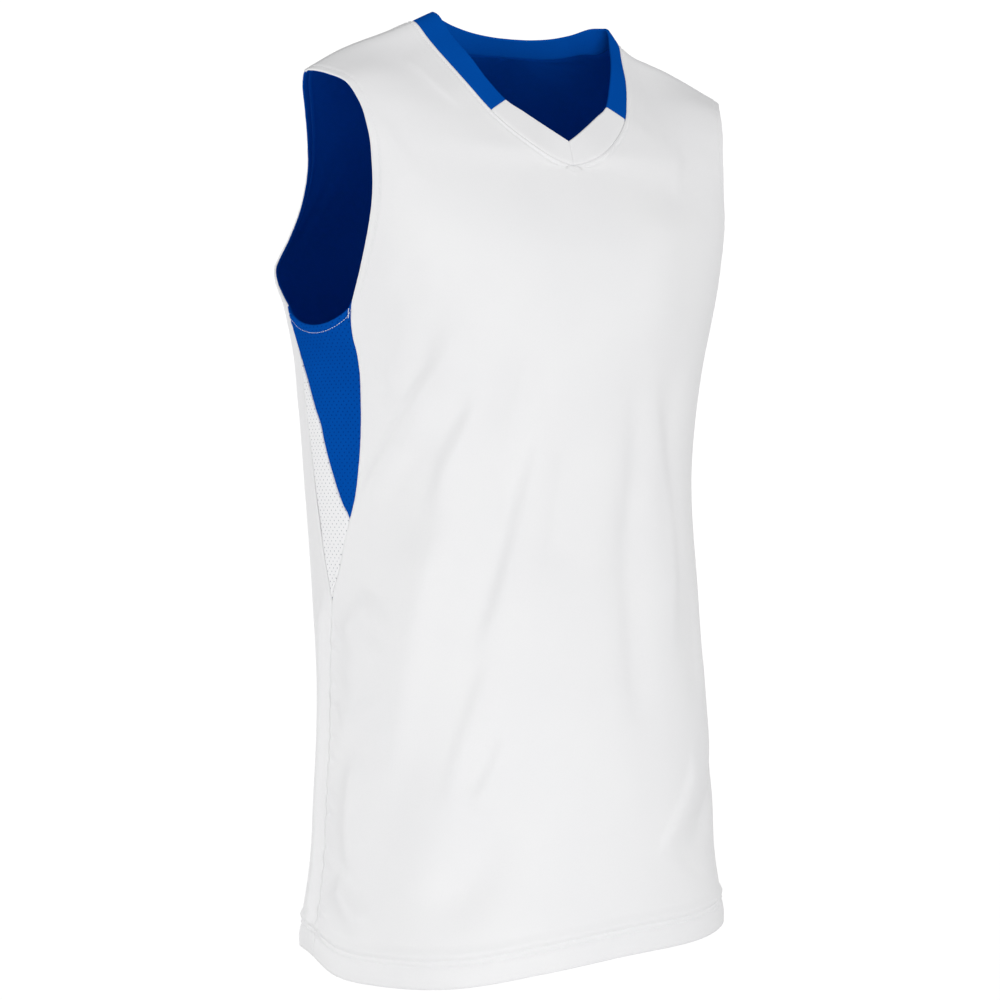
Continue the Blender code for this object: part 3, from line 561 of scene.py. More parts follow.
def ease_joint(points, joint, edge):
    """Softens the line along a row where two kinds of rows meet, away from a sewn edge."""
    rows = np.arange(len(points))[:, None]
    pull = smooth(1.2 - np.abs(rows - joint) / 14) * smooth((edge - 0.006) / 0.030)
    for _ in range(40):
        gap = np.linalg.norm(np.diff(points, axis=0), axis=-1)[..., None]
        middle = (points[:-2] * gap[1:] + points[2:] * gap[:-1]) / (gap[1:] + gap[:-1])
        points = points.copy()
        points[1:-1] += 0.5 * pull[1:-1, :, None] * (middle - points[1:-1])
    return points


# %% Half a panel
def half_panel(side, is_front, cell, inner=False):
    """Points of half a panel in rows from the hem to the shoulder, with what its edges need."""
    centre, seam = (0.0, 0) if is_front else (180.0, 2)
    levels = panel_levels(cell, turned=not inner)
    rise, mix, level, depth = (column[:, None] for column in levels.T)
    creases = INNER_CREASES if inner else CREASES

    def low(u):
        guess = side * (centre + (seam_angles(LOW_LEVEL)[seam] - centre) * u)
        z = (track(HEM, guess)[..., 0] + rise) * (1 - mix) + level * mix
        angle = centre + (seam_angles(z)[seam] - centre) * u
        return hang(side, ring(angle, z), creases)

    shares, opens = yoke_shares(is_front, cell)
    w = shares[:, None]

    def high(u):
        return hang(side, yoke(is_front, u, w), creases)

    open_rows = shares >= opens
    seam_line = high(np.zeros((len(shares), 1)))[:, 0]
    row_way = unit(high(np.full((len(shares), 1), 0.02))[:, 0] - seam_line)
    seam_way = unit(np.gradient(seam_line, axis=0))
    slant = np.clip(np.linalg.norm(np.cross(row_way, seam_way), axis=-1), 0.35, 1)
    widen = np.where(open_rows, 1 / slant, 1 / slant[open_rows.argmax() + 1])
    low_u, low_s = rows_by_length(low, len(levels), SEAM_STEPS, EDGE_STEPS, cell)
    high_u, high_s = rows_by_length(high, len(shares), SEAM_STEPS, EDGE_STEPS, cell, widen)
    points = np.concatenate([low(low_u), high(high_u)])
    length = np.concatenate([low_s, high_s])
    outer = length[:, -1:] - length
    points = ease_joint(points, len(levels) - 1, outer)
    points = ease_joint(points, len(levels) + int(open_rows.argmax()), np.minimum(outer, length))
    return {
        "side": side, "is_front": is_front, "points": points, "length": length, "depth": depth[:, 0],
        "rise": np.concatenate([rise[:, 0] + mix[:, 0], np.ones(len(shares))]),
        "levels": len(levels), "neck": len(levels) + int(open_rows.argmax()),
        "widen": np.concatenate([np.ones(len(levels)), widen]),
    }


def four_halves(cell, inner=False):
    """The halves of a ply, with normals that are equal where panels meet at centre and shoulder."""
    halves = {(is_front, side): half_panel(side, is_front, cell, inner)
              for is_front in (True, False) for side in (-1, 1)}
    for is_front in (True, False):
        pair = [halves[is_front, side] for side in (-1, 1)]
        for half in pair:
            half["normals"] = grid_normals(half["points"])
            turned = (half["depth"] > 0).argmin()
            half["normals"][:turned] = half["normals"][turned]
        neck = pair[0]["neck"] + 1
        shared = unit(pair[0]["normals"][:neck, 0] + pair[1]["normals"][:neck, 0])
        pair[0]["normals"][:neck, 0] = pair[1]["normals"][:neck, 0] = shared
    for side in (-1, 1):
        front, back = halves[True, side], halves[False, side]
        shared = unit(front["normals"][-1] + back["normals"][-1])
        front["normals"][-1] = back["normals"][-1] = shared
    return halves


# %% Flat place, edges and stitching of a half panel
def edge_distances(half):
    """Distances to the outer edge, to the neck seam, and along the cloth up the panel."""
    points, length = half["points"], half["length"]
    outer = length[:, -1:] - length
    neck = np.full(outer.shape, 1.0)
    rows = slice(half["neck"], None)
    neck[rows] = length[rows] / half["widen"][rows, None]
    corner = points[half["neck"], 0]
    below = slice(half["neck"] - 12, half["neck"])
    neck[below] = np.linalg.norm(points[below] - corner, axis=-1)
    step = np.linalg.norm(np.diff(points, axis=0), axis=-1)
    up = np.concatenate([np.zeros((1, step.shape[1])), np.cumsum(step, 0)])
    return outer, neck, up


def flat_place(half, up):
    start = np.abs(half["points"][:, :1, 0])
    return np.stack([half["side"] * (start + half["length"]), up], -1)


def side_strip(half, outer, up):
    """Below the inserts the seam allowance lifts a strip of the back panel, and the front puckers."""
    low = smooth((SEAMS_MEET + 0.015 - half["points"][..., 2]) / 0.03)
    low = low * smooth((half["rise"][:, None] - 0.010) / 0.030)
    if half["is_front"]:
        wave = np.sin(up * 430) + 0.8 * np.sin(up * 289 + 1.9) + 0.6 * np.sin(up * 701 + 0.7)
        return low * 0.00055 * wave * bell(outer - 0.007, 0.007)
    return low * STRIP_RISE * smooth(outer / 0.012) * smooth((0.030 - outer) / 0.016)


def panel_relief(half):
    """Height of the cloth over its folded surface, from seams, stitching and rolled edges."""
    outer, neck, up = edge_distances(half)
    armhole_row = np.arange(len(up)) >= half["levels"] - 1
    rise = half["rise"][:, None]
    at_side = seam_lip(outer, PROUD) + side_strip(half, outer, up)
    relief = np.where(armhole_row[:, None], rolled(outer) + 0.5 * stitch_line(outer, ARMHOLE_STITCH), at_side)
    relief += seam_lip(neck, PROUD) + stitch_line(neck, NECK_STITCH)
    relief += pucker(up, outer - 0.004, 0.006) + pucker(half["length"], neck - 0.003, 0.005)
    for at in HEM_STITCH:     # a groove at each stitching, a soft roll below it and a ridge above
        relief += -0.0008 * bell(rise - at, 0.0008)
    relief += 0.0008 * bell(rise - 0.0100, 0.006) + 0.0003 * bell(rise - 0.0202, 0.0012)
    relief += 0.0019 * bell(rise - 0.0266, 0.0032) + 2.5 * pucker(half["length"], rise - 0.021, 0.005)
    relief += seam_lip(length_from_shoulder(half))
    return relief


def length_from_shoulder(half):
    points = half["points"]
    gap = np.linalg.norm(points - points[-1:], axis=-1)
    gap[:half["levels"]] = 1.0
    return gap


# %% Outer panels
def outer_half(half):
    """Final points of an outer half panel."""
    depth = np.zeros(half["length"].shape)
    depth[:half["levels"]] -= half["depth"][:, None]
    turned = (half["depth"] > 0).argmin()
    relief = panel_relief(half)
    relief[:turned] *= 0.3
    return half["points"] + half["normals"] * (depth + relief)[..., None]


def edge_wall(half):
    """Share of the full wall: thin at the armhole's rolled edge."""
    outer = half["length"][:, -1:] - half["length"]
    armhole_row = (np.arange(len(outer)) >= half["levels"] - 1)[:, None]
    return np.where(armhole_row, smooth(outer / ROLL), 1.0)


def lay_halves(halves, is_front, shape, outward=True):
    """Lays both halves of a panel in a new bmesh. shape gives a half its final points."""
    bm = new_cloth()
    for side in (-1, 1):
        half = halves[is_front, side]
        half["laid"] = shape(half)
        lay_grid(bm, half["laid"], flat_place(half, edge_distances(half)[2]), edge_wall(half), outward)
    return bm


def build_outer(name, halves, is_front, node):
    bm = lay_halves(halves, is_front, outer_half)
    return finish_cloth(name, bm, white_knit, OUTER_PLY, node)

# %% [markdown]
# ## Shader maths
# A pattern such as a knit is a formula. Wrapping a socket in a small class lets the formula be
# written as plain Python, and every sign in it adds one Math node.

# %% Sockets as numbers
class Wire:
    """A socket of a material that can be added, multiplied and compared."""
    def __init__(self, tree, socket):
        self.tree, self.socket = tree, socket

    def node(self, kind, settings=(), **sockets):
        """Adds a node: settings come first, then its sockets by name or position."""
        made = self.tree.nodes.new(kind)
        for name, value in settings:
            setattr(made, name, value)
        for name, value in sockets.items():
            socket = made.inputs[int(name[1:]) if name[1:].isdigit() else name.replace("_", " ")]
            if isinstance(value, Wire):
                self.tree.links.new(value.socket, socket)
            else:
                socket.default_value = value
        return made

    def math(self, operation, other=0.0, third=0.0):
        made = self.node("ShaderNodeMath", [("operation", operation)], i0=self, i1=other, i2=third)
        return Wire(self.tree, made.outputs[0])

    def __add__(self, other):
        return self.math("ADD", other)

    def __sub__(self, other):
        return self.math("SUBTRACT", other)

    def __mul__(self, other):
        return self.math("MULTIPLY", other)

    def __truediv__(self, other):
        return self.math("DIVIDE", other)

    def __rsub__(self, other):
        return (self * -1.0) + other

    __radd__, __rmul__ = __add__, __mul__

    def parts(self):
        """The x, y and z of a vector."""
        made = self.node("ShaderNodeSeparateXYZ", i0=self)
        return [Wire(self.tree, socket) for socket in made.outputs]

    def sine(self):
        return self.math("SINE")

    def fraction(self):
        return self.math("FRACT")

    def size(self):
        return self.math("ABSOLUTE")

    def between(self, low, high):
        """0 below low and 1 above high, with a soft step."""
        made = self.node("ShaderNodeMapRange", [("interpolation_type", "SMOOTHSTEP")],
                         Value=self, From_Min=low, From_Max=high)
        return Wire(self.tree, made.outputs[0])


def colours(wire, low, high):
    """Mixes two colours by a wire."""
    made = wire.node("ShaderNodeMix", [("data_type", "RGBA")], i0=wire, i6=(*low, 1), i7=(*high, 1))
    return Wire(wire.tree, made.outputs[2])


# %% [markdown]
# ## Knit and mesh
# Both plies are polyester knit: columns of tiny V stitches, about a millimetre wide, with a soft
# satin gloss. The inserts are the same knit with rows of pinholes, whose colour is painted shade for
# the dark down each hole. The knit follows the cloth, so it reads the piece's own flat map, in
# metres. Slow clouds in the colour stand for uneven dye.

# %% Cloth material
WALE, COURSE = 0.0011, 0.0009      # width and height of one stitch
HOLE_PITCH, HOLE_ROW, HOLE_RADIUS = 0.0052, 0.00275, 0.00060


def start_material(name, roughness, sheen, gloss, settings=()):
    made = bpy.data.materials.new(name)
    made.use_nodes = True
    shader = made.node_tree.nodes["Principled BSDF"]
    shader.inputs["Roughness"].default_value = roughness
    shader.inputs["Sheen Weight"].default_value = sheen
    shader.inputs["Specular IOR Level"].default_value = gloss
    shader.inputs["Sheen Roughness"].default_value = 0.4
    for name, value in settings:
        shader.inputs[name].default_value = value
    return made, shader


def knit_height(u, v):
    """V-shaped stitches in columns: a wire from 0 to 1."""
    column = (u / WALE).fraction()
    lean = (column - 0.5).size()
    leg = ((v / COURSE + lean * 1.3) * (2 * math.pi)).sine()
    rib = (column * (2 * math.pi)).sine()
    return leg * 0.3 + rib * 0.2 + 0.5


def hole_mask(u, v):
    """1 in a pinhole and 0 on the cloth between, in staggered rows."""
    row = v / HOLE_ROW
    shift = (row.math("FLOOR") * 0.5).fraction()
    x = ((u / HOLE_PITCH + shift).fraction() - 0.5) * HOLE_PITCH
    y = (row.fraction() - 0.5) * HOLE_ROW
    gap = (x * x + y * y).math("SQRT")
    return 1.0 - gap.between(0.7 * HOLE_RADIUS, 1.15 * HOLE_RADIUS)


def cloth_material(name, light, dark, roughness, sheen, gloss, bump, painted_hole_shade=None):
    """Knit cloth. light and dark are its colour clouds, painted_hole_shade the painted shade down a pinhole.
    """
    made, shader = start_material(name, roughness, sheen, gloss)
    tree = made.node_tree
    laid = tree.nodes.new("ShaderNodeUVMap")
    laid.uv_map = "cloth"
    place = Wire(tree, laid.outputs[0])
    u, v, _ = place.parts()
    cloud = place.node("ShaderNodeTexNoise", Vector=place, Scale=9.0, Detail=3.0)
    grain = place.node("ShaderNodeTexNoise", Vector=place, Scale=650.0, Detail=1.0)
    tone = Wire(tree, cloud.outputs[0]) * 0.8 + Wire(tree, grain.outputs[0]) * 0.35 - 0.07
    height = knit_height(u, v) * 0.25
    base = colours(tone.between(0.30, 0.75), dark, light)
    if painted_hole_shade:
        # the pinholes sink in the bump and are coloured with painted shade
        mask = hole_mask(u, v)
        height = height * (1.0 - mask) - mask
        mixed = place.node("ShaderNodeMix", [("data_type", "RGBA")], i0=mask, i6=base, i7=(*painted_hole_shade, 1))
        base = Wire(tree, mixed.outputs[2])
    raised = place.node("ShaderNodeBump", Strength=bump, Distance=0.0003, Height=height)
    tree.links.new(base.socket, shader.inputs["Base Color"])
    tree.links.new(raised.outputs[0], shader.inputs["Normal"])
    return made


white_knit = cloth_material("white_knit", (0.86, 0.86, 0.865), (0.84, 0.84, 0.85), 0.62, 0.05, 0.3, 0.25)
# the hole colours are painted shade: grey down the white mesh's pinholes, deep blue down the blue mesh's
white_mesh = cloth_material("white_mesh", (0.91, 0.91, 0.92), (0.89, 0.89, 0.90), 0.65, 0.05, 0.3, 0.5,
                            painted_hole_shade=(0.52, 0.53, 0.56))
blue_knit = cloth_material("blue_knit", (0.0010, 0.078, 0.400), (0.0008, 0.068, 0.365), 0.6, 0.0, 0.0, 0.25)
blue_mesh = cloth_material("blue_mesh", (0.0010, 0.078, 0.410), (0.0008, 0.068, 0.375), 0.62, 0.0, 0.0, 0.5,
                           painted_hole_shade=(0.0005, 0.035, 0.215))
# painted light: the inner ply is the same blue as the outer cloth, made lighter here to brighten its shade
# inside the armholes
blue_lining = cloth_material(
    "blue_lining", (0.0008, 0.080, 0.480), (0.0007, 0.070, 0.435), 0.58, 0.0, 0.0, 0.25)
white_thread, _ = start_material("white_thread", 0.5, 0.1, 0.3, [("Base Color", (0.85, 0.85, 0.86, 1))])
blue_thread, _ = start_material("blue_thread", 0.5, 0.1, 0.1, [("Base Color", (0.002, 0.07, 0.36, 1))])

# %% [markdown]
# ## Sewing the outer panels
# The halves are worked out first, for both panels, so that their faces lean the same way where the
# panels meet on the shoulder.

# %% Outer front and back
INNER_CREASES = CREASES + (
    (9, 9, 0.6, (108, -120), (118, -190), (128, -260)),
    (8, 8, -1.6, (-112, -90), (-122, -150), (-128, -230)),
    (8, 8, -1.4, (-121, -80), (-133, -150), (-141, -230)),
    (10, 10, -1.6, (-138, -110), (-146, -190), (-150, -280)),
    (8, 8, -1.4, (-150, -50), (-160, -75), (-176, -82)),
    (7, 7, -1.4, (178, -55), (165, -68), (150, -60)),
    (9, 9, -1.4, (30, -200), (20, -280), (24, -360)),
    (9, 9, -1.2, (-30, -260), (-24, -350), (-30, -430)),
    (8, 8, -1.4, (130, -110), (142, -180), (150, -260)),
)
CELL, INNER_CELL = 0.0034, 0.0052
outer_halves = four_halves(CELL)
jersey_front = build_outer("jersey_front", outer_halves, True, "front_panel")
jersey_back = build_outer("jersey_back", outer_halves, False, "back_panel")

# %% [markdown]
# ## The inner ply
# The inner ply lies behind the outer one and is drawn by its inside face, the one that shows. It
# ends above the hem's turn. Behind the inserts it runs on in narrow strips to the side line, where
# front and back meet, and at the armhole it curls out to meet the outer ply's rolled edge.

# %% Inner half panel
def ease(points):
    """Extra depth of the inner ply near the sides, where it hangs free behind the inserts."""
    centre = track(SECTIONS, points[..., 2])[..., 3]
    return SIDE_EASE * bell(points[..., 1] - centre, 0.06) * smooth((-0.12 - points[..., 2]) / 0.08)


def inner_depth(points, outer, armhole_rows):
    """Depth of the inside face: full inside, and half of it at a rolled edge."""
    depth = -INNER_DEPTH - ease(points)
    curl = ROLL * (1 - np.sqrt(1 - np.clip(1 - outer / ROLL, 0, 1) ** 2))
    return depth + np.where(armhole_rows[:, None], curl + ease(points) * bell(outer, ROLL), 0.0)


def inner_half(half):
    outer, neck, _ = edge_distances(half)
    armhole_rows = np.arange(len(outer)) >= half["levels"] - 1
    depth = inner_depth(half["points"], outer, armhole_rows)
    depth += 0.0008 * bell(neck, 0.0012) - 0.0004 * bell(neck - 0.004, 0.002)
    depth -= stitch_line(outer, ARMHOLE_STITCH) * armhole_rows[:, None]
    depth -= 0.7 * pucker(half["length"], neck - 0.005, 0.010)
    return half["points"] + half["normals"] * depth[..., None]


# %% Strips behind the inserts
def armhole_sag(share):
    """Shape of the armhole's bottom between the corners, 0 at them and 1 at its lowest."""
    return np.sin(math.pi * np.clip(share, 0, 1)) ** 0.6


def dip_rows(tip, top, cell):
    """Levels of an insert's rows from its tip, each with its share of the armhole's dip."""
    levels = np.linspace(tip, top, int(round((top - tip) / cell)) + 1)
    if top < CORNER_Z:
        return levels, 0 * levels
    rows = levels[levels < -0.262]
    edge = CORNER_Z - np.array((0.0262, 0.0232, *EDGE_STEPS[:0:-1], 0.0))
    levels = np.concatenate([rows, edge])
    return levels, smooth((levels + 0.275) / 0.034)


def side_rows(first, last, tip, top, columns, cell):
    """Angles and heights of a strip between two seam columns."""
    levels, dip = dip_rows(tip, top, cell)
    share = np.linspace(0, 1, columns + 1)
    front, middle, back = (column[:, None] for column in seam_angles(levels))
    ends = {"front": front, "line": middle, "back": back, "side": (front + back) / 2}
    angle = ends[first] + (ends[last] - ends[first]) * share
    sag = armhole_sag((angle - front) / np.maximum(back - front, 1e-6))
    return angle, levels[:, None] - ARMHOLE_DIP * dip[:, None] * sag


def strip_points(side, angle, z, creases):
    points = hang(side, ring(angle, z), creases)
    nearby = hang(side, ring(angle + 0.05, z), creases) - points
    above = hang(side, ring(angle, z + 1e-4), creases) - points
    return points, away(unit(np.cross(nearby, above)), points)


def below_edge(z):
    """Distance down the cloth from a strip's last row."""
    return z[-1:] - z


# %% Inner front and back
def build_inner(name, halves, is_front, node):
    bm = lay_halves(halves, is_front, inner_half, outward=False)
    for side in (-1, 1):
        first = "front" if is_front else "back"
        angle, z = side_rows(first, "side", SEAMS_MEET, CORNER_Z, 14, INNER_CELL)
        points, normals = strip_points(side, angle, z, INNER_CREASES)
        edge = below_edge(z)
        depth = inner_depth(points, edge, np.ones(len(z), bool))
        wall = np.clip(edge / ROLL, 0, 1)
        flat = np.stack([side * np.radians(angle) * GIRTH_RADIUS, z + 0.5], -1)
        lay_grid(bm, points + normals * depth[..., None], flat, wall, outward=False)
    return finish_cloth(name, bm, blue_lining, INNER_PLY, node)


inner_halves = four_halves(INNER_CELL, inner=True)
inner_front = build_inner("inner_front", inner_halves, True, "lining_front")
inner_back = build_inner("inner_back", inner_halves, False, "lining_back")

# %% [markdown]
# ## Side inserts
# Under each arm a blue mesh wedge points down, and a white mesh wedge behind it points both ways.
# The blue one forms the bottom of the armhole, with a turned edge and a row of white stitching.

# %% Blue and white wedges
def side_reach(angle, z):
    """Length of cloth from the side line at 90 degrees, round the body."""
    dense = np.linspace(60, 115, 221)
    reach = np.empty(angle.shape)
    for row, height in enumerate(z.mean(axis=1)):
        step = np.linalg.norm(np.diff(ring(dense, height), axis=0), axis=-1)
        length = np.concatenate([[0], np.cumsum(step)])
        reach[row] = np.interp(angle[row], dense, length) - np.interp(90, dense, length)
    return reach


def build_insert(name, side, ends, tip, top, columns, finish, node):
    angle, z = side_rows(*ends, tip, top, columns, 0.0026)
    points, normals = strip_points(side, angle, z, CREASES)
    reach = side_reach(angle, z)
    width = np.abs(reach[:, -1:] - reach[:, :1])
    share = np.linspace(0, 1, columns + 1)
    relief = seam_lip(width * share, SUNK) + seam_lip(width * (1 - share), SUNK)
    wall = np.ones(z.shape)
    if top == CORNER_Z:
        edge = below_edge(z)
        relief = relief * smooth(edge / 0.003) + rolled(edge)
        relief += 1.2 * stitch_line(edge, ARMHOLE_STITCH) + 0.0004 * bell(edge - 0.0035, 0.003)
        relief += 1.6 * pucker(width * share, edge - 0.007, 0.006)
        wall = wall * np.clip(edge / ROLL, 0, 1)
    flat = np.stack([side * reach, z + 0.5], -1)
    bm = new_cloth()
    laid = points + normals * relief[..., None]
    lay_grid(bm, laid, flat, wall)
    return finish_cloth(name, bm, finish, OUTER_PLY, node), laid


inserts = {}
for side, hand in ((-1, "right"), (1, "left")):
    inserts["blue", side] = build_insert(
        "side_insert_blue_" + hand, side, ("front", "line"), BLUE_TIP, CORNER_Z, 30, blue_mesh,
        "side_mesh_blue_" + hand)
    inserts["white", side] = build_insert(
        "side_insert_white_" + hand, side, ("line", "back"), WHITE_TIP, WHITE_TOP, 14, white_mesh,
        "side_mesh_white_" + hand)

# %% [markdown]
# ## The neckband
# The band is a strip folded in two along its free edge. Its section is a flat loop with a round
# fold, swept round the neck: outside face, fold, inside face and back to the seam. Closing the loop
# gives the band its thickness, so it needs no separate wall.

# %% Section of the band
def band_section():
    """Share of the width, distance added to it, and height of each point round the section."""
    radius = BAND_DEPTH / 2
    out, inside = 0.0003, 0.0003 - BAND_DEPTH
    face = [(0.0, 0.0001, -0.0007), (0.0, 0.0003, -0.0002), (0.0, 0.0008, 0.0001), (0.0, 0.0018, 0.0004),
            (0.0, 0.0032, 0.0005), (0.25, 0.0, 0.0005), (0.5, 0.0, 0.0005), (0.75, 0.0, 0.0004),
            (1.0, -0.0032, out)]
    fold = []
    for degrees in range(90, -91, -20):
        a = math.radians(degrees)
        fold.append((1.0, -radius + radius * math.cos(a), out - radius + radius * math.sin(a)))
    back = [(1.0, -0.0032, inside), (0.7, 0.0, inside - 0.0004), (0.35, 0.0, inside - 0.0005),
            (0.0, 0.0030, inside - 0.0004), (0.0, 0.0014, inside - 0.0002), (0.0, 0.0002, inside + 0.0001),
            (0.0, -0.0008, inside + 0.0006)]
    return np.array(face + fold + back)


def band_frame(side, share):
    """Seam, way across and normals at both edges of the band at shares of the way round."""
    place = track(NECK, share)
    seam, edge = hang(side, place[:, :3]), hang(side, place[:, 3:])
    along = np.gradient(seam, axis=0)
    along_edge = np.gradient(edge, axis=0)
    normals = []
    for way in (along, along_edge):
        normals.append(away(unit(np.cross(edge - seam, way)), seam))
    return seam, edge, normals


# %% Sweeping the band
END_LIP = 0.04            # share by which the band draws in at a sewn end


def band_points(side, share):
    seam, edge, (normal_in, normal_out) = band_frame(side, share)
    width = np.linalg.norm(edge - seam, axis=-1)
    section = band_section()
    section = np.concatenate([section, section[:1]])
    across = section[:, 0] * width[:, None] + section[:, 1]
    part = np.clip(across / width[:, None], 0, 1)[..., None]
    normal = unit(normal_in[:, None] * (1 - part) + normal_out[:, None] * part)
    way = ((edge - seam) / width[:, None])[:, None]
    return seam[:, None] + way * across[..., None] + normal * section[:, 2][None, :, None], across, width


def end_lip(points, first, last, length):
    """Draws the section in a little at a sewn end."""
    middle = points.mean(axis=1, keepdims=True)
    close = np.ones(len(points))
    for sewn, distance in ((first, length), (last, length[-1] - length)):
        if sewn:
            close -= END_LIP * bell(distance, 0.0009)
    return middle + (points - middle) * close[:, None, None]


def build_band(name, stretches, finish, node, sewn):
    """A stretch of neckband on each side, welded where they meet."""
    bm = new_cloth()
    laid = []
    for side, first, last in stretches:
        share = np.linspace(first, last, int(round(abs(last - first) * 270)) + 1)
        points, across, width = band_points(side, share)
        step = np.linalg.norm(np.diff(points[:, 5], axis=0), axis=-1)
        length = np.concatenate([[0], np.cumsum(step)])
        points = end_lip(points, *sewn, length)
        if last == 1.0:
            points[-1, :, 0] = 0.0
        flat = np.stack(np.broadcast_arrays(length[:, None] * side, across), -1)
        lay_grid(bm, points, flat, np.ones(across.shape))
        laid.append(points)
    bmesh.ops.remove_doubles(bm, verts=bm.verts, dist=2e-6)
    bmesh.ops.holes_fill(bm, edges=[edge for edge in bm.edges if edge.is_boundary], sides=0)
    bmesh.ops.recalc_face_normals(bm, faces=bm.faces)
    return finish_cloth(name, bm, finish, 0.0, node), laid


neckband_blue = build_band(
    "neckband_round", [(-1, COLOUR_JOIN, 1.0), (1, COLOUR_JOIN, 1.0)], blue_knit,
    "neckband_blue", (True, False))
neckband_right, neckband_left = (
    build_band("neckband_v_" + hand, [(side, 0.0, COLOUR_JOIN)], white_knit,
               "neckband_white_" + hand, (True, True))
    for side, hand in ((-1, "right"), (1, "left")))

# %% [markdown]
# ## Stitches
# Topstitching shows as a row of short threads that lie in the groove their own pull makes. There
# are well over a thousand, so each is only a long bead of 36 triangles, half sunk in the cloth. A
# bar tack, where a row ends under the arm, is a few of them side by side.

# %% Rows of stitches
STITCH, TACK = (0.0028, 0.0021), (0.0009, 0.0014)     # pitch and length
STITCH_WIDTH = 0.0006
NECK_COLUMN, ARMHOLE_COLUMN = 6, -9     # where the grids have a line at the two stitchings
HEM_ROWS = (15, 19)                     # and the rows of the two hem stitchings


def sew(name, rows, finish):
    """Lays stitches along rows of points on the cloth, each row with the ways out of the cloth."""
    bm = bmesh.new()
    for points, outwards, pitch, length in rows:
        line = bmesh.new()
        step = np.linalg.norm(np.diff(points, axis=0), axis=-1)
        reach = np.concatenate([[0.0], np.cumsum(step)])
        middles = np.arange(pitch / 2, reach[-1], pitch)
        places, ways, outs = (
            np.stack([np.interp(middles, reach, table[:, k]) for k in range(3)], -1)
            for table in (points, np.gradient(points, axis=0), outwards))
        ways = unit(ways)
        sides = unit(np.cross(outs, ways))
        outs = np.cross(ways, sides)
        for place, way, side, out in zip(places, ways, sides, outs):
            turn = np.eye(4)
            turn[:3] = np.column_stack([
                way * length / 2, side * STITCH_WIDTH / 2, out * STITCH_WIDTH / 2, place])
            bmesh.ops.create_uvsphere(line, u_segments=6, v_segments=4, radius=1.0, matrix=Matrix(turn))
        sewn = bpy.data.meshes.new("row")
        line.to_mesh(sewn)
        line.free()
        bm.from_mesh(sewn)
        bpy.data.meshes.remove(sewn)
    for face in bm.faces:
        face.smooth = True
    threads = add_object(name, bm, finish)
    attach(threads, "root")
    print(name, len(threads.data.polygons), "faces")
    return threads


def row_on(half, rows, columns, inward=False):
    """A row of stitches along a line of a half panel's grid."""
    outwards = half["normals"][rows, columns] * (-1 if inward else 1)
    return half["laid"][rows, columns], outwards, *STITCH


def panel_rows(is_front):
    """Stitches of one outer panel: round the neck, along the armholes and twice round the hem."""
    rows = []
    for side in (-1, 1):
        half = outer_halves[is_front, side]
        corner, above = half["neck"] - 3, slice(half["neck"] + 1, None)
        points, outwards = (np.concatenate([half[key][corner:corner + 1, 0], half[key][above, NECK_COLUMN]])
                            for key in ("laid", "normals"))
        rows.append((points, outwards, *STITCH))
        rows.append(row_on(half, slice(half["levels"] - 1, None), ARMHOLE_COLUMN))
        rows += [row_on(half, row, slice(None)) for row in HEM_ROWS]
    return rows


def insert_rows(laid):
    """Stitches under the arm, with a bar tack across the seam at both ends."""
    outwards = grid_normals(laid)
    rows = [(laid[ARMHOLE_COLUMN], outwards[ARMHOLE_COLUMN], *STITCH)]
    tack = slice(ARMHOLE_COLUMN - 4, ARMHOLE_COLUMN + 5)
    for end in (1, -2):
        rows.append((laid[tack, end], outwards[tack, end], *TACK))
    return rows


for is_front, place in ((True, "front"), (False, "back")):
    sew("stitching_" + place, panel_rows(is_front), white_thread)
    inside = [row_on(inner_halves[is_front, side], slice(inner_halves[is_front, side]["levels"] - 1, None),
                     ARMHOLE_COLUMN, inward=True) for side in (-1, 1)]
    sew("stitching_inner_" + place, inside, blue_thread)
    "inner_" + place
for side, hand in ((-1, "right"), (1, "left")):
    sew("stitching_arm_" + hand, insert_rows(inserts["blue", side][1]), white_thread)

# %% [markdown]

# %% [markdown]
# ## Stage
# The jersey hangs free, filled out, over a plain pale floor. The light is an even white sky with a
# large soft lamp in front and another behind its right side, so the folds show as slow changes of
# tone. The front lamp leaves out the inner ply, which keeps the inside of the garment dark.

# %% Floor, light and camera
def place_lamp(name, place, target, size, power):
    lamp = bpy.data.lights.new(name, "AREA")
    lamp.shape, lamp.size, lamp.energy = "DISK", size, power
    holder = add_object(name, lamp)
    holder.location = place
    holder.rotation_euler = (Vector(target) - Vector(place)).to_track_quat("-Z", "Y").to_euler()
    holder.visible_camera = False
    return holder


BACKGROUND_WAY = (0.5736, 0.8192)     # level way from the camera to the jersey
ROOM, BRIGHT = 0.41, 1.06             # radiance of the room and of the wall behind the jersey
LEFT_WALL, RIGHT_WALL = 0.30, 0.38    # extra light from the walls beside it
CEILING = 0.06                        # how much darker the room is overhead


def bright_wall(x, y):
    """1 towards the bright wall and 0 elsewhere, from a level direction."""
    level = (x * x + y * y).math("SQRT") + 1e-6
    return ((x * BACKGROUND_WAY[0] + y * BACKGROUND_WAY[1]) / level).between(0.62, 0.90)


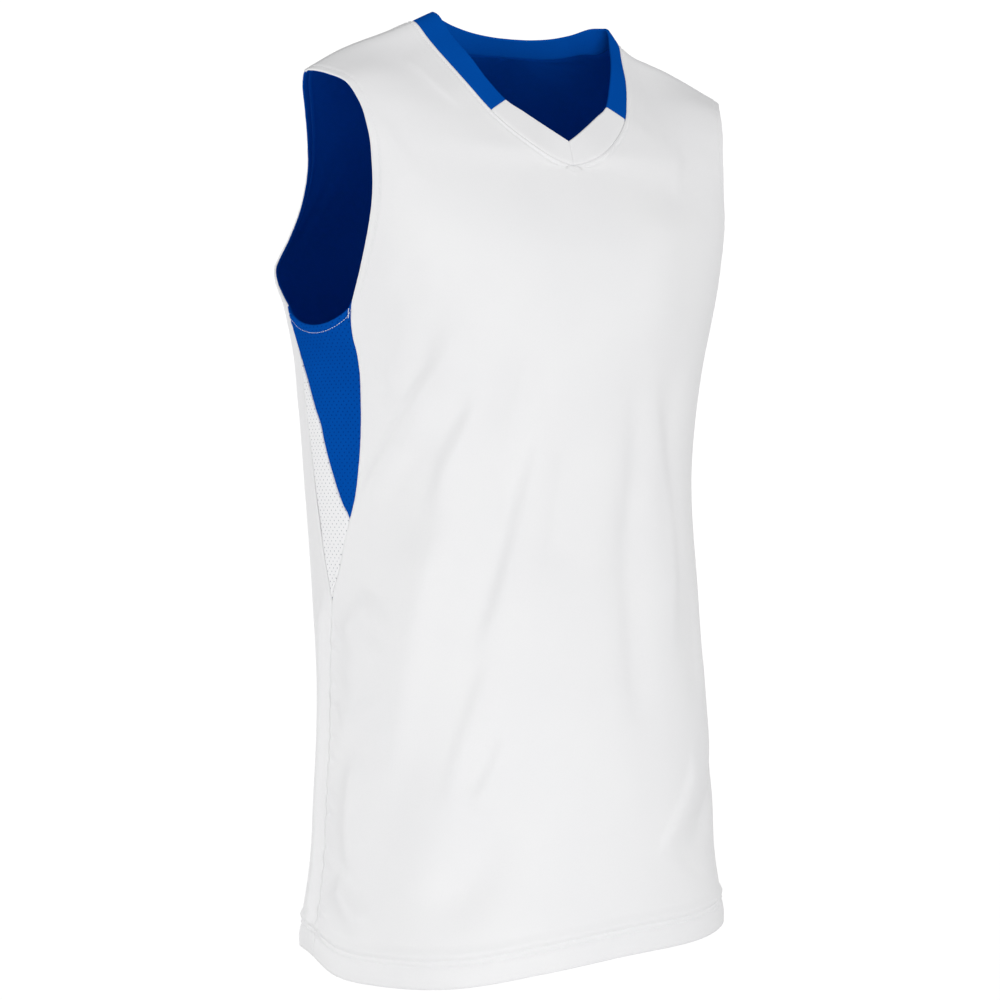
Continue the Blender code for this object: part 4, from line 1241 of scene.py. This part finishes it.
bm = bmesh.new()
bmesh.ops.create_circle(bm, cap_ends=True, radius=60.0, segments=96)
bmesh.ops.translate(bm, vec=(0, 0, -1.30), verts=bm.verts)
pale, shader = start_material("pale_floor", 0.9, 0.0, 0.2, [("Emission Strength", 1.0)])
place = Wire(pale.node_tree, pale.node_tree.nodes.new("ShaderNodeTexCoord").outputs["Object"])
x, y, _ = place.parts()
far = (x * x + y * y).math("SQRT").between(0.9, 2.5)
glow = far * (ROOM + bright_wall(x, y) * (BRIGHT - ROOM))
for name, wire in (("Emission Color", colours(glow, (0, 0, 0), (1, 1, 1))),
                   ("Base Color", colours(far, (0.85, 0.85, 0.85), (0, 0, 0)))):
    pale.node_tree.links.new(wire.socket, shader.inputs[name])
floor = add_object("floor", bm, pale)

sky = bpy.data.worlds.new("sky")
sky.use_nodes = True
place = Wire(sky.node_tree, sky.node_tree.nodes.new("ShaderNodeTexCoord").outputs["Generated"])
x, y, z = place.parts()
aside = x * BACKGROUND_WAY[1] - y * BACKGROUND_WAY[0]
glow = ROOM + bright_wall(x, y) * (1.0 - z.size().between(0.25, 0.6)) * (BRIGHT - ROOM)
glow = glow + aside.between(0.2, 0.9) * RIGHT_WALL + (aside * -1.0).between(0.2, 0.9) * LEFT_WALL
glow = glow - z.between(0.4, 0.9) * CEILING
background = sky.node_tree.nodes["Background"]
background.inputs["Color"].default_value = (1, 1, 1, 1)
sky.node_tree.links.new(glow.socket, background.inputs["Strength"])
bpy.context.scene.world = sky
bpy.context.scene.view_settings.view_transform = "Standard"
key = place_lamp("key", (-0.85, -2.80, -0.40), (0, 0, -0.40), 1.6, 41)
place_lamp("rim", (-2.30, 1.80, -0.40), (0, 0, -0.40), 1.6, 27)

shaded = bpy.data.collections.new("out_of_the_key_light")
for lining in (inner_front, inner_back):
    shaded.objects.link(lining)
for entry in shaded.collection_objects:
    entry.light_linking.link_state = "EXCLUDE"
key.light_linking.receiver_collection = shaded

camera = bpy.data.cameras.new("camera")
camera.lens, camera.sensor_width, camera.shift_x = 102.67, 36.0, -0.017
viewer = add_object("camera", camera)
viewer.location = (-1.3830, -1.9670, -0.3913)
viewer.rotation_euler = (math.radians(90), 0, math.radians(-35))
bpy.context.scene.camera = viewer
